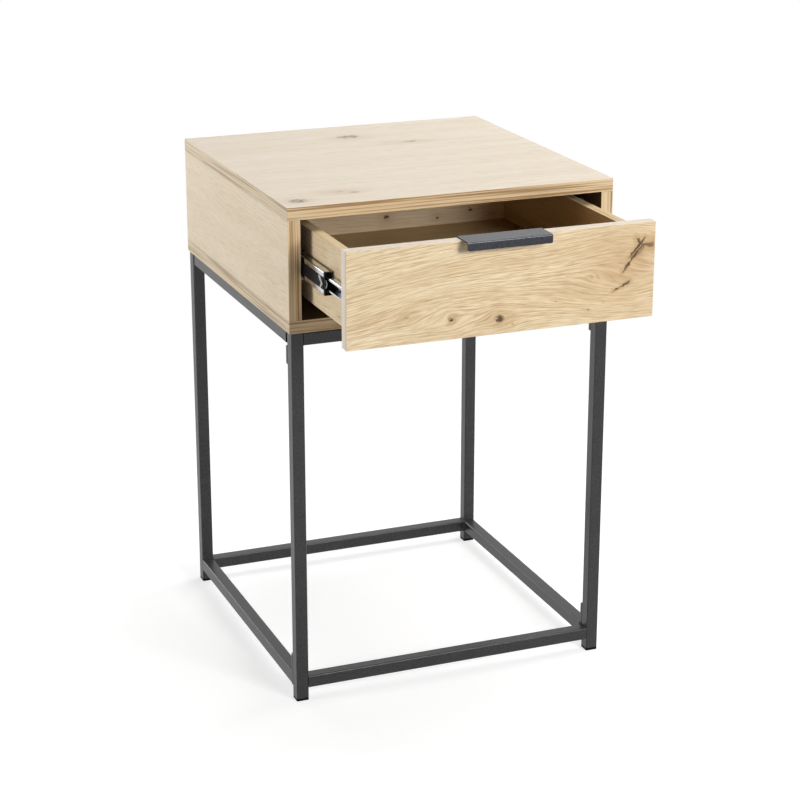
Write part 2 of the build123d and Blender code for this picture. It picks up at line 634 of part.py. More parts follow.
# Runners: three nested strips on each side, with caged balls between them
half_sheet = runner_sheet / 2
outer_flange_v = outer_half - half_sheet
outer_lip_v = outer_half - runner_sheet - runner_lip
middle_flange_v = middle_half - half_sheet
middle_lip_v = middle_half - runner_sheet - runner_lip
member_flange_v = member_half - half_sheet
member_lip_v = member_half - runner_sheet - runner_lip
ball_places = [(i - (ball_count - 1) / 2) * ball_pitch for i in range(ball_count)]
for name, side in left_and_right.items():
    with BuildPart() as outer_member:
        points = [
            (outer_reach - half_sheet, outer_lip_v),
            (outer_reach - half_sheet, outer_flange_v),
            (half_sheet, outer_flange_v),
            (half_sheet, -outer_flange_v),
            (outer_reach - half_sheet, -outer_flange_v),
            (outer_reach - half_sheet, -outer_lip_v),
        ]
        runner_profile(side, points, runner_bend, runner_sheet, runner_back_y, runner_length)
        web_x = side * (inner_x - runner_sheet)
        screws = [facing(web_x, y, runner_z, (-side, 0, 0)) for y in outer_screw_ys]
        countersunk_holes(screws, runner_screw_head_radius, runner_screw_radius, 2 * runner_sheet)
    save(outer_member, f"{name}_runner_outer_member")

    with BuildPart() as middle_member:
        points = [
            (middle_reach - half_sheet, middle_lip_v),
            (middle_reach - half_sheet, middle_flange_v),
            (middle_web_u + half_sheet, middle_flange_v),
            (middle_web_u + half_sheet, -middle_flange_v),
            (middle_reach - half_sheet, -middle_flange_v),
            (middle_reach - half_sheet, -middle_lip_v),
        ]
        middle_back = runner_back_y - middle_shift
        runner_profile(side, points, runner_bend, runner_sheet, middle_back, runner_length - bumper)
    save(middle_member, f"{name}_runner_middle_member")

    with BuildPart() as drawer_member:
        points = [
            (member_tip_u + half_sheet, member_lip_v),
            (member_tip_u + half_sheet, member_flange_v),
            (runner_space - half_sheet, member_flange_v),
            (runner_space - half_sheet, -member_flange_v),
            (member_tip_u + half_sheet, -member_flange_v),
            (member_tip_u + half_sheet, -member_lip_v),
        ]
        runner_profile(side, points, runner_bend, runner_sheet, runner_back_y - drawer_open, runner_length)
        web_x = side * (side_outer_x + runner_sheet)
        screws = [facing(web_x, y, runner_z, (side, 0, 0)) for y in member_screw_ys]
        countersunk_holes(screws, runner_screw_head_radius, runner_screw_radius, 2 * runner_sheet)
        pin_root = facing(side * (side_outer_x + half_sheet), lever_y, runner_z, (side, 0, 0))
        heads([pin_root], lever_pin_radius, half_sheet + running_gap + lever_thickness)
    save(drawer_member, f"{name}_runner_drawer_member")

    cages = (
        ("outer", outer_cage_u, outer_cage_v, outer_reach, outer_ball_u, outer_cage_shift),
        ("inner", inner_cage_u, inner_cage_v, middle_reach, inner_ball_u, inner_cage_shift),
    )
    for cage_name, web_u, flange_v, reach_u, ball_u, shift in cages:
        cage_y = runner_mid_y - shift
        ball_x = side * (inner_x - ball_u)
        tip_u = reach_u - runner_sheet - running_gap
        centres = [(ball_x, cage_y + y, runner_z + v) for y in ball_places for v in (-flange_v, flange_v)]
        with BuildPart() as cage:
            points = [(tip_u, flange_v), (web_u, flange_v), (web_u, -flange_v), (tip_u, -flange_v)]
            cage_back = cage_y + cage_length / 2
            runner_profile(side, points, cage_bend + cage_sheet / 2, cage_sheet, cage_back, cage_length)
            with Locations(*centres):
                Cylinder(ball_radius + pocket_gap, 2 * ball_radius, mode=Mode.SUBTRACT)
        save(cage, f"{name}_runner_{cage_name}_cage")

        with BuildPart() as balls:
            with Locations(*centres):
                Sphere(ball_radius)
        save(balls, f"{name}_runner_{cage_name}_balls")

    with BuildPart() as bumper_cap:
        bumper_back = runner_front_y - middle_shift + bumper
        throat_u = member_tip_u - bumper_gap
        with BuildSketch(Plane.XZ.offset(-bumper_back)):
            with Locations((side * (inner_x - (middle_web_u + middle_reach) / 2), runner_z)):
                Rectangle(middle_reach - middle_web_u, 2 * middle_half)
            with Locations((side * (inner_x - (throat_u + runner_space) / 2), runner_z)):
                Rectangle(runner_space - throat_u, 2 * (member_half + bumper_gap), mode=Mode.SUBTRACT)
        extrude(amount=bumper)
    save(bumper_cap, f"{name}_runner_bumper")

    with BuildPart() as lever:
        lever_u = lever_outer_u if side > 0 else lever_outer_u - lever_thickness
        with BuildSketch(Plane.YZ.offset(side * (inner_x - lever_u))):
            with Locations((lever_y, runner_z)):
                Circle(lever_hub_radius)
            with Locations((lever_y - lever_length, runner_z)):
                Circle(lever_tip_radius)
            make_hull()
            with Locations((lever_y, runner_z)):
                Circle(lever_pin_radius + hinge_gap, mode=Mode.SUBTRACT)
        extrude(amount=lever_thickness)
    save(lever, f"{name}_release_lever")

# Screws of the runners, into the carcass sides and into the drawer sides
screw_length = runner_sheet + runner_screw_bite
with BuildPart() as cabinet_screws:
    web_x = inner_x - runner_sheet
    webs = [facing(s * web_x, y, runner_z, (-s, 0, 0)) for s in (-1, 1) for y in outer_screw_ys]
    countersunk_screws(webs, runner_screw_head_radius, runner_screw_radius, screw_length)
    cross_recess(webs, 0, runner_screw_head_radius)
save(cabinet_screws, "runner_cabinet_screws")

with BuildPart() as member_screws:
    web_x = side_outer_x + runner_sheet
    webs = [facing(s * web_x, y, runner_z, (s, 0, 0)) for s in (-1, 1) for y in member_screw_ys]
    countersunk_screws(webs, runner_screw_head_radius, runner_screw_radius, screw_length)
    cross_recess(webs, 0, runner_screw_head_radius)
save(member_screws, "runner_drawer_screws")
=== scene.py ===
import logging
import math
from dataclasses import dataclass, field, replace
from enum import Enum
from functools import cached_property, reduce
from typing import ClassVar, Dict, List, Optional, Sequence, Tuple, Union

import bmesh
import bpy
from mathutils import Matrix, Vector


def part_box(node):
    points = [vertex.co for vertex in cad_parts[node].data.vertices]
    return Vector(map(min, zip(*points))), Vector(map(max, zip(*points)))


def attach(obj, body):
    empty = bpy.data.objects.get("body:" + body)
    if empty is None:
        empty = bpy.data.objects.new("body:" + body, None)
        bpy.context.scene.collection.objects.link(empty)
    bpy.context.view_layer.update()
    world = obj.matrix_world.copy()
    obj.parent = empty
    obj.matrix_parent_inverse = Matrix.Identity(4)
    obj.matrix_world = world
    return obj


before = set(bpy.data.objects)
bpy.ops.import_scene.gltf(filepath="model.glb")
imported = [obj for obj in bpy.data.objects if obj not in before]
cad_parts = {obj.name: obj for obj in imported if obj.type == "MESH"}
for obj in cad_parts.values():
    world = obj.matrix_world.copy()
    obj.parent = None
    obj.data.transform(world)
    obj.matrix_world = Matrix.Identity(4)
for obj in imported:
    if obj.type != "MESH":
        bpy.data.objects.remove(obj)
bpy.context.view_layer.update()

LOG = logging.getLogger("side_table")

Colour = Tuple[float, float, float, float]
Point = Tuple[float, float, float]
FlatPoint = Tuple[float, float]
Span = Tuple[float, float]
NodeInput = Union["Field", bpy.types.NodeSocket, float, Sequence[float]]

# Middle of every random pattern
NOISE_MEAN = 0.5
# Share of a normal along an axis from which a face counts as facing that way
FACING = 0.7
WHITE: Colour = (1.0, 1.0, 1.0, 1.0)


class Axis(Enum):
    """Axis of the table's frame."""

    X = 0
    Y = 1
    Z = 2


class Side(Enum):
    """Side of the table, seen from the front."""

    LEFT = "left"
    RIGHT = "right"


def tone(red: int, green: int, blue: int) -> Colour:
    """Turn a screen colour into the linear colour that a shader takes.

    Args:
        red: Red from 0 to 255.
        green: Green from 0 to 255.
        blue: Blue from 0 to 255.

    Returns:
        The linear colour with full alpha.
    """

    def linear(value: int) -> float:
        """Undo the screen curve for one channel."""
        share = value / 255
        return share / 12.92 if share <= 0.04045 else ((share + 0.055) / 1.055) ** 2.4

    return (linear(red), linear(green), linear(blue), 1.0)


class Field:
    """Value that changes over a surface, with arithmetic that adds the nodes it needs."""

    def __init__(self, graph: "Graph", socket: bpy.types.NodeSocket) -> None:
        """Keep the graph and the socket that carries the value."""
        self.graph = graph
        self.socket = socket

    def math(self, operation: str, *values: NodeInput) -> "Field":
        """Add one Math node.

        Args:
            operation: Name of the Math operation.
            values: Values or links of the node's sockets, in order.

        Returns:
            The result as a field.
        """
        node = self.graph.add("ShaderNodeMath", {"operation": operation}, dict(enumerate(values)))
        return Field(self.graph, node.outputs[0])

    def __add__(self, other: NodeInput) -> "Field":
        """Sum."""
        return self.math("ADD", self, other)

    def __radd__(self, other: NodeInput) -> "Field":
        """Sum with a number on the left."""
        return self.math("ADD", other, self)

    def __sub__(self, other: NodeInput) -> "Field":
        """Difference."""
        return self.math("SUBTRACT", self, other)

    def __rsub__(self, other: NodeInput) -> "Field":
        """Difference from a number."""
        return self.math("SUBTRACT", other, self)

    def __mul__(self, other: NodeInput) -> "Field":
        """Product."""
        return self.math("MULTIPLY", self, other)

    def __rmul__(self, other: NodeInput) -> "Field":
        """Product with a number on the left."""
        return self.math("MULTIPLY", other, self)

    def __truediv__(self, other: NodeInput) -> "Field":
        """Quotient."""
        return self.math("DIVIDE", self, other)

    def __rtruediv__(self, other: NodeInput) -> "Field":
        """Quotient of a number by this field."""
        return self.math("DIVIDE", other, self)

    def __pow__(self, other: NodeInput) -> "Field":
        """Power."""
        return self.math("POWER", self, other)

    def __abs__(self) -> "Field":
        """Size without sign."""
        return self.math("ABSOLUTE", self)

    def __neg__(self) -> "Field":
        """Opposite."""
        return self.math("MULTIPLY", self, -1.0)

    def exp(self) -> "Field":
        """Natural exponent."""
        return self.math("EXPONENT", self)

    def fract(self) -> "Field":
        """Part after the point."""
        return self.math("FRACT", self)

    def sine(self) -> "Field":
        """Sine of an angle in radians."""
        return self.math("SINE", self)

    def above(self, limit: float) -> "Field":
        """One where the field is larger than a limit, else zero."""
        return self.math("GREATER_THAN", self, limit)

    def least(self, other: NodeInput) -> "Field":
        """Smaller of two fields."""
        return self.math("MINIMUM", self, other)

    def most(self, other: NodeInput) -> "Field":
        """Larger of two fields."""
        return self.math("MAXIMUM", self, other)

    def toward(self, other: "Field", share: "Field") -> "Field":
        """This field where the share is zero, and the other where it is one."""
        return self + (other - self) * share

    def smooth(self, low: float, high: float) -> "Field":
        """Soft step.

        Args:
            low: Value at which the result is zero.
            high: Value at which the result is one, which may be the smaller of the two.

        Returns:
            A field that runs smoothly from zero to one between the two values.
        """
        first, last = (0.0, 1.0) if low < high else (1.0, 0.0)
        values = {
            "Value": self,
            "From Min": min(low, high),
            "From Max": max(low, high),
            "To Min": first,
            "To Max": last,
        }
        node = self.graph.add("ShaderNodeMapRange", {"interpolation_type": "SMOOTHSTEP"}, values)
        return Field(self.graph, node.outputs[0])


class NodeBench:
    """Node tree with the one method that makes its nodes."""

    def __init__(self, tree: bpy.types.NodeTree) -> None:
        """Take a tree and empty it."""
        self.tree = tree
        self.tree.nodes.clear()

    def add(
        self,
        kind: str,
        settings: Optional[Dict[str, object]] = None,
        values: Optional[Dict[Union[str, int], NodeInput]] = None,
    ) -> bpy.types.Node:
        """Add a node, set it up, then fill or link its sockets.

        Args:
            kind: Blender's type name of the node.
            settings: Properties of the node.
            values: Values or links of its input sockets, by name or index.

        Returns:
            The new node.
        """
        node = self.tree.nodes.new(kind)
        for key, setting in (settings or {}).items():
            setattr(node, key, setting)
        for key, value in (values or {}).items():
            if isinstance(value, Field):
                self.tree.links.new(value.socket, node.inputs[key])
            elif isinstance(value, bpy.types.NodeSocket):
                self.tree.links.new(value, node.inputs[key])
            else:
                node.inputs[key].default_value = value
        return node


class Graph(NodeBench):
    """Shader tree of a material or of the air around the table."""

    def __init__(
        self,
        owner: Union[bpy.types.Material, bpy.types.World],
        output: str = "ShaderNodeOutputMaterial",
    ) -> None:
        """Empty the owner's tree and give it an output.

        Args:
            owner: Material or world that gets the tree.
            output: Type of its output node.
        """
        owner.use_nodes = True
        super().__init__(owner.node_tree)
        self.owner = owner
        self.output = self.add(output)
        place = self.add("ShaderNodeTexCoord")
        self.place = place.outputs["Object"]
        self.normal = place.outputs["Normal"]

    @classmethod
    def material(cls, name: str) -> "Graph":
        """Start the tree of a new material."""
        return cls(bpy.data.materials.new(name))

    def axes(self, vector: bpy.types.NodeSocket) -> List[Field]:
        """Split a vector into its three fields."""
        node = self.add("ShaderNodeSeparateXYZ", None, {0: vector})
        return [Field(self, socket) for socket in node.outputs]

    def vector(self, x: NodeInput, y: NodeInput, z: NodeInput = 0.0) -> bpy.types.NodeSocket:
        """Join three values into a vector."""
        return self.add("ShaderNodeCombineXYZ", None, {0: x, 1: y, 2: z}).outputs[0]

    def arrow(self, operation: str, *values: NodeInput) -> bpy.types.NodeSocket:
        """Add one Vector Math node that gives a vector, with its inputs in order."""
        settings = {"operation": operation}
        return self.add("ShaderNodeVectorMath", settings, dict(enumerate(values))).outputs["Vector"]

    def measure(self, operation: str, *values: NodeInput) -> Field:
        """Add one Vector Math node that gives a number, with its inputs in order."""
        settings = {"operation": operation}
        node = self.add("ShaderNodeVectorMath", settings, dict(enumerate(values)))
        return Field(self, node.outputs["Value"])

    def noise(
        self,
        where: bpy.types.NodeSocket,
        scale: float,
        detail: float = 2.0,
        rough: float = 0.5,
    ) -> Field:
        """Soft random pattern.

        Args:
            where: Vector at which it is read.
            scale: Repeats per unit of that vector.
            detail: Number of finer layers.
            rough: Strength of the finer layers.

        Returns:
            A field around its mean of one half.
        """
        values = {"Vector": where, "Scale": scale, "Detail": detail, "Roughness": rough}
        node = self.add("ShaderNodeTexNoise", {"noise_dimensions": "3D"}, values)
        return Field(self, node.outputs[0])

    def mix(self, share: NodeInput, first: NodeInput, second: NodeInput) -> bpy.types.NodeSocket:
        """Mix two colours.

        Args:
            share: Share of the second colour.
            first: Colour at a share of zero.
            second: Colour at a share of one.

        Returns:
            The socket with the mixed colour.
        """
        settings = {"data_type": "RGBA", "clamp_factor": True}
        return self.add("ShaderNodeMix", settings, {0: share, 6: first, 7: second}).outputs[2]

    def bump(self, height: Field, depth: float, strength: float) -> bpy.types.NodeSocket:
        """Turn a height field into a normal.

        Args:
            height: Field from low to high.
            depth: Distance in metres between zero and one.
            strength: Share of the effect.

        Returns:
            The socket with the bent normal.
        """
        values = {"Strength": strength, "Distance": depth, "Height": height}
        return self.add("ShaderNodeBump", None, values).outputs[0]

    def finish(self, values: Dict[str, NodeInput]) -> bpy.types.Material:
        """Close the tree with one Principled shader.

        Args:
            values: Values or links of the shader's sockets.

        Returns:
            The finished material.
        """
        shader = self.add("ShaderNodeBsdfPrincipled", None, values)
        self.close(shader.outputs[0])
        return self.owner

    def close(self, shader: bpy.types.NodeSocket) -> None:
        """Link a shader to the output."""
        self.tree.links.new(shader, self.output.inputs["Surface"])

    def shown(self) -> Field:
        """Find the rays that show a surface to the eye.

        Returns:
            One for rays from the camera, a mirror or glass, else zero.
        """
        path = self.add("ShaderNodeLightPath").outputs
        seen = Field(self, path["Is Camera Ray"])
        return seen.most(path["Is Glossy Ray"]).most(path["Is Transmission Ray"])


@dataclass(frozen=True)
class Weight:
    """Strength of one pattern in a finish.

    Attributes:
        colour: Share in the mix of colours.
        rough: Change of the roughness.
        relief: Share in the relief.
    """

    colour: float = 0.0
    rough: float = 0.0
    relief: float = 0.0


@dataclass(frozen=True)
class Layer:
    """Random layer of the oak print.

    Attributes:
        along: Stretch along the grain.
        across: Stretch across the grain.
        shift: Step from the board's seed, so that no two layers are alike.
        detail: Number of finer layers in it.
        rough: Strength of those finer layers.
        scale: Repeats per unit of the stretched place.
        cut: Values between which it is sharpened to run from zero to one.
    """

    along: float
    across: float
    shift: float
    detail: float
    rough: float = 0.5
    scale: float = 1.0
    cut: Optional[Span] = None


DRIFT = Layer(2.4, 7.0, shift=0.0, detail=1.0)
CRUMBLE = Layer(1.0, 1.0, shift=0.0, detail=2.0, scale=420.0)
STROKE = Layer(110.0, 290.0, shift=0.0, detail=3.0, cut=(0.42, 0.56))
SWAY_ALONG = Layer(1.0, 1.0, shift=0.3, detail=2.0, scale=190.0)
SWAY_ACROSS = Layer(1.0, 1.0, shift=0.9, detail=2.0, scale=190.0)
BROAD = Layer(3.0, 48.0, shift=3.1, detail=3.0, cut=(0.30, 0.70))
SWEEP = Layer(2.0, 13.0, shift=7.7, detail=1.0)
FADE = Layer(7.0, 130.0, shift=4.4, detail=3.0, rough=0.6, cut=(0.36, 0.68))
STRAND = Layer(20.0, 700.0, shift=1.3, detail=3.0, rough=0.66)
FIBRE = Layer(46.0, 1000.0, shift=8.8, detail=1.0, cut=(0.47, 0.60))
PORE = Layer(52.0, 1100.0, shift=5.9, detail=2.0, cut=(0.54, 0.72))
STREAK = Layer(4.0, 480.0, shift=2.2, detail=3.0, rough=0.6)


@dataclass
class Board:
    """Oak board whose print is being drawn.

    Attributes:
        graph: Tree that takes the nodes.
        seed: Start of the board's random layers.
        turn: Direction in which the surface faces.
        bands: One on the board's narrow edges, else zero.
        along: Place along the grain.
        across: Place across the grain.
        flow: Place across the grain once its lines are bent.
        halos: Shade around each knot and split.
        cores: Dark wood of each knot and split.
    """

    graph: Graph
    seed: float
    turn: List[Field]
    bands: Field
    along: Field
    across: Field
    flow: Field
    halos: List[Field] = field(default_factory=list)
    cores: List[Field] = field(default_factory=list)

    SWAY: ClassVar[float] = 0.0055

    def layer(self, layer: Layer, across: Field) -> Field:
        """Lay a random layer over the board.

        Args:
            layer: Layer to lay.
            across: Place across the grain that it follows.

        Returns:
            The layer as a field.
        """
        where = self.graph.vector(self.along * layer.along, across * layer.across, self.seed + layer.shift)
        pattern = self.graph.noise(where, layer.scale, layer.detail, layer.rough)
        return pattern if layer.cut is None else pattern.smooth(*layer.cut)

    @cached_property
    def spot(self) -> bpy.types.NodeSocket:
        """Place on the board as a vector."""
        return self.graph.vector(self.along, self.across)

    @cached_property
    def bent_spot(self) -> bpy.types.NodeSocket:
        """Place on the board, swayed a little so that splits don't run straight."""
        along = self.layer(SWAY_ALONG, self.across) - NOISE_MEAN
        across = self.layer(SWAY_ACROSS, self.across) - NOISE_MEAN
        return self.graph.vector(self.along + along * self.SWAY, self.across + across * self.SWAY)

    @cached_property
    def crumble(self) -> Field:
        """Crumbling at the rim of a knot."""
        return self.layer(CRUMBLE, self.across)

    @cached_property
    def stroke(self) -> Field:
        """Short strokes inside a knot."""
        return self.layer(STROKE, self.across)


@dataclass(frozen=True)
class Knot:
    """Knot in a board or, where its core is zero, a place where the grain only bends.

    Attributes:
        along: Place along the grain.
        across: Place across the grain.
        core: Radius of its dark core along the grain.
        reach_along: Reach of the bent grain along the board.
        reach_across: Reach of the bent grain across the board.
        bend: Share by which it pushes the grain aside.
        halo: Strength of the shade around it.
        depth: Darkness of its core.
    """

    along: float
    across: float
    core: float
    reach_along: float
    reach_across: float
    bend: float = 0.7
    halo: float = 0.35
    depth: float = 0.9

    RING_PITCH: ClassVar[float] = 0.0026
    RING_SWING: ClassVar[float] = 0.45
    RING_LEVEL: ClassVar[float] = 0.9
    CRUMBLING: ClassVar[float] = 2.2
    RIM: ClassVar[Span] = (1.5, 0.3)
    STROKE_SHARE: ClassVar[float] = 0.8

    def draw(self, board: Board) -> None:
        """Bend the grain around the knot, then add its shade and its core.

        Args:
            board: Board that has the knot.
        """
        graph = board.graph
        stretch = (1 / self.reach_along, 1 / self.reach_across, 1.0)
        shift = (-self.along / self.reach_along, -self.across / self.reach_across, 0.0)
        offset = graph.arrow("MULTIPLY_ADD", board.spot, stretch, shift)
        squared = graph.measure("DOT_PRODUCT", offset, offset)
        pull = (-squared).exp()
        rise = graph.axes(offset)[1]
        board.flow = board.flow - rise * pull * (self.bend * self.reach_across)
        halo = pull * self.halo
        if self.core > 0.0:
            limit = (self.core / self.reach_along) ** 2
            ragged = squared + (board.crumble - NOISE_MEAN) * (self.CRUMBLING * limit)
            filled = ragged.smooth(self.RIM[0] * limit, self.RIM[1] * limit)
            strokes = board.stroke * self.STROKE_SHARE + (1.0 - self.STROKE_SHARE)
            board.cores.append(filled * strokes * self.depth)
            turns = 2 * math.pi * self.reach_along / self.RING_PITCH
            halo = halo * ((squared ** 0.5 * turns).sine() * self.RING_SWING + self.RING_LEVEL)
        board.halos.append(halo)


@dataclass(frozen=True)
class Crack:
    """Dark split in a board.

    Attributes:
        start: One end, along and across the grain.
        end: The other end.
        width: Its width at the middle, with the frayed sides.
        depth: Its darkness.
    """

    start: FlatPoint
    end: FlatPoint
    width: float
    depth: float = 0.9

    FIBRE_ALONG: ClassVar[float] = 130.0
    FIBRE_ACROSS: ClassVar[float] = 900.0
    FRAYING: ClassVar[float] = 1.5
    TAPER: ClassVar[float] = 0.75
    RIM: ClassVar[Span] = (0.70, 0.10)
    HALO_REACH: ClassVar[float] = 3.6
    HALO: ClassVar[float] = 0.8

    def draw(self, board: Board) -> None:
        """Add the split and the shade beside it.

        Args:
            board: Board that has the split.
        """
        graph = board.graph
        run = (self.end[0] - self.start[0], self.end[1] - self.start[1])
        length = math.hypot(*run)
        offset = graph.arrow("SUBTRACT", board.bent_spot, (*self.start, 0.0))
        share = graph.measure("DOT_PRODUCT", offset, (*run, 0.0)) / length ** 2
        share = share.least(1.0).most(0.0)
        nearest = graph.vector(share * run[0], share * run[1])
        apart = graph.measure("DISTANCE", offset, nearest)
        strands = graph.vector(share * (length * self.FIBRE_ALONG), apart * self.FIBRE_ACROSS, self.width)
        fibre = graph.noise(strands, 1.0) - NOISE_MEAN
        middle = share * 2.0 - 1.0
        breadth = (1.0 - middle * middle * self.TAPER) * self.width
        ragged = apart / breadth + fibre * self.FRAYING
        board.cores.append(ragged.smooth(*self.RIM) * self.depth)
        board.halos.append(apart.smooth(self.width * self.HALO_REACH, 0.0) * self.HALO)


@dataclass(frozen=True)
class Grain:
    """Grain of one board.

    Attributes:
        line: Growth lines.
        fade: Strength of those lines from place to place.
        strand: Fine strands between them.
        fibre: Short coarse fibres.
        pore: Short open pores.
    """

    line: Field
    fade: Field
    strand: Field
    fibre: Field
    pore: Field

    LINE_WEIGHT: ClassVar[Weight] = Weight(colour=0.25, relief=-0.3)
    PALEST_LINE: ClassVar[float] = 0.05
    STRAND_WEIGHT: ClassVar[Weight] = Weight(colour=1.8, rough=0.16, relief=0.5)
    STRAND_START: ClassVar[float] = 0.48
    FIBRE_WEIGHT: ClassVar[Weight] = Weight(colour=0.28, relief=-0.2)
    PORE_WEIGHT: ClassVar[Weight] = Weight(colour=0.30, rough=0.1, relief=-0.6)
    LINE_EDGE: ClassVar[Span] = (0.30, 0.5)
    LINE_SWEEP: ClassVar[float] = 4.0

    @classmethod
    def on(cls, board: Board, pitch: float) -> "Grain":
        """Draw the grain of a board along its bent lines.

        Args:
            board: Board with its knots already drawn.
            pitch: Distance between growth lines.

        Returns:
            The grain.
        """
        flow = board.flow
        rank = flow / pitch + board.layer(SWEEP, flow) * cls.LINE_SWEEP
        line = abs(rank.fract() - 0.5).smooth(*cls.LINE_EDGE)
        fade, strand, fibre, pore = (board.layer(layer, flow) for layer in (FADE, STRAND, FIBRE, PORE))
        return cls(line, fade, strand, fibre, pore)

    def shade(self) -> Field:
        """Darkness of the lines, strands and fibres."""
        lines = self.line * (self.fade * self.LINE_WEIGHT.colour + self.PALEST_LINE)
        strands = (self.strand - self.STRAND_START).most(0.0) * self.STRAND_WEIGHT.colour
        return lines + strands + self.fibre * self.FIBRE_WEIGHT.colour

    def rough(self) -> Field:
        """Change of the roughness."""
        return (self.strand - NOISE_MEAN) * self.STRAND_WEIGHT.rough + self.pore * self.PORE_WEIGHT.rough

    def relief(self) -> Field:
        """Height of the strands, with the fibres, pores and lines pressed in."""
        raised = self.strand * self.STRAND_WEIGHT.relief + self.fibre * self.FIBRE_WEIGHT.relief
        return raised + self.pore * self.PORE_WEIGHT.relief + self.line * self.fade * self.LINE_WEIGHT.relief


@dataclass(frozen=True)
class OakTones:
    """Colours of one oak print.

    Attributes:
        pale: Palest wood.
        mid: Broad bands in it.
        dark: Growth lines and the shade around knots.
        pore: Pores.
        knot: Knots and splits.
        edge: Edge bands that face the front.
        edge_line: Lines in them.
        rim: Edge bands that face another way.
        rim_line: Lines in those.
    """

    pale: Colour
    mid: Colour
    dark: Colour
    pore: Colour
    knot: Colour
    edge: Colour
    edge_line: Colour
    rim: Colour
    rim_line: Colour


HONEY = OakTones(
    pale=tone(243, 224, 188),
    mid=tone(233, 211, 173),
    dark=tone(188, 152, 106),
    pore=tone(158, 122, 82),
    knot=tone(50, 26, 14),
    edge=tone(222, 196, 154),
    edge_line=tone(172, 137, 95),
    # Pale grey rims: painted sheen of the light from above on the drawer front's edges
    rim=tone(234, 222, 206),
    rim_line=tone(212, 192, 166),
)
CREAM = OakTones(
    pale=tone(238, 227, 211),
    mid=tone(231, 218, 199),
    dark=tone(201, 178, 146),
    pore=tone(178, 151, 118),
    knot=tone(92, 76, 62),
    edge=tone(225, 200, 161),
    edge_line=tone(164, 130, 90),
    rim=tone(215, 195, 162),
    rim_line=tone(158, 132, 98),
)
FLANK = replace(CREAM, pale=tone(236, 220, 194), mid=tone(228, 211, 181), dark=tone(203, 179, 144))
BOX = replace(HONEY, rim=tone(220, 196, 156), rim_line=tone(188, 158, 116))
# Darker, browner copy of the box print for the drawer's base: painted shade, for the shade that lies in the
# drawer
BOX_BASE_PAINTED_SHADE = replace(BOX, pale=tone(220, 188, 138), mid=tone(207, 174, 123), dark=tone(172, 136, 88))
# Lighter, greyer copy of the box print for the drawer's back: painted light, for the light that falls on it
# through the open top
BOX_BACK_PAINTED_LIGHT = replace(BOX, pale=tone(248, 230, 200), mid=tone(241, 219, 184), dark=tone(198, 168, 128))
# Darker copy of the box print for the drawer's right side: painted shade, for the shade on its inner face
BOX_RIGHT_PAINTED_SHADE = replace(BOX, pale=tone(205, 176, 130), mid=tone(192, 162, 116), dark=tone(156, 122, 80))
# Dark browns painted on the carcass's inner faces as the shade inside the box
PAINTED_SHADE_BROWN = tone(96, 74, 52)
PAINTED_SHADE_DARK = tone(70, 52, 36)


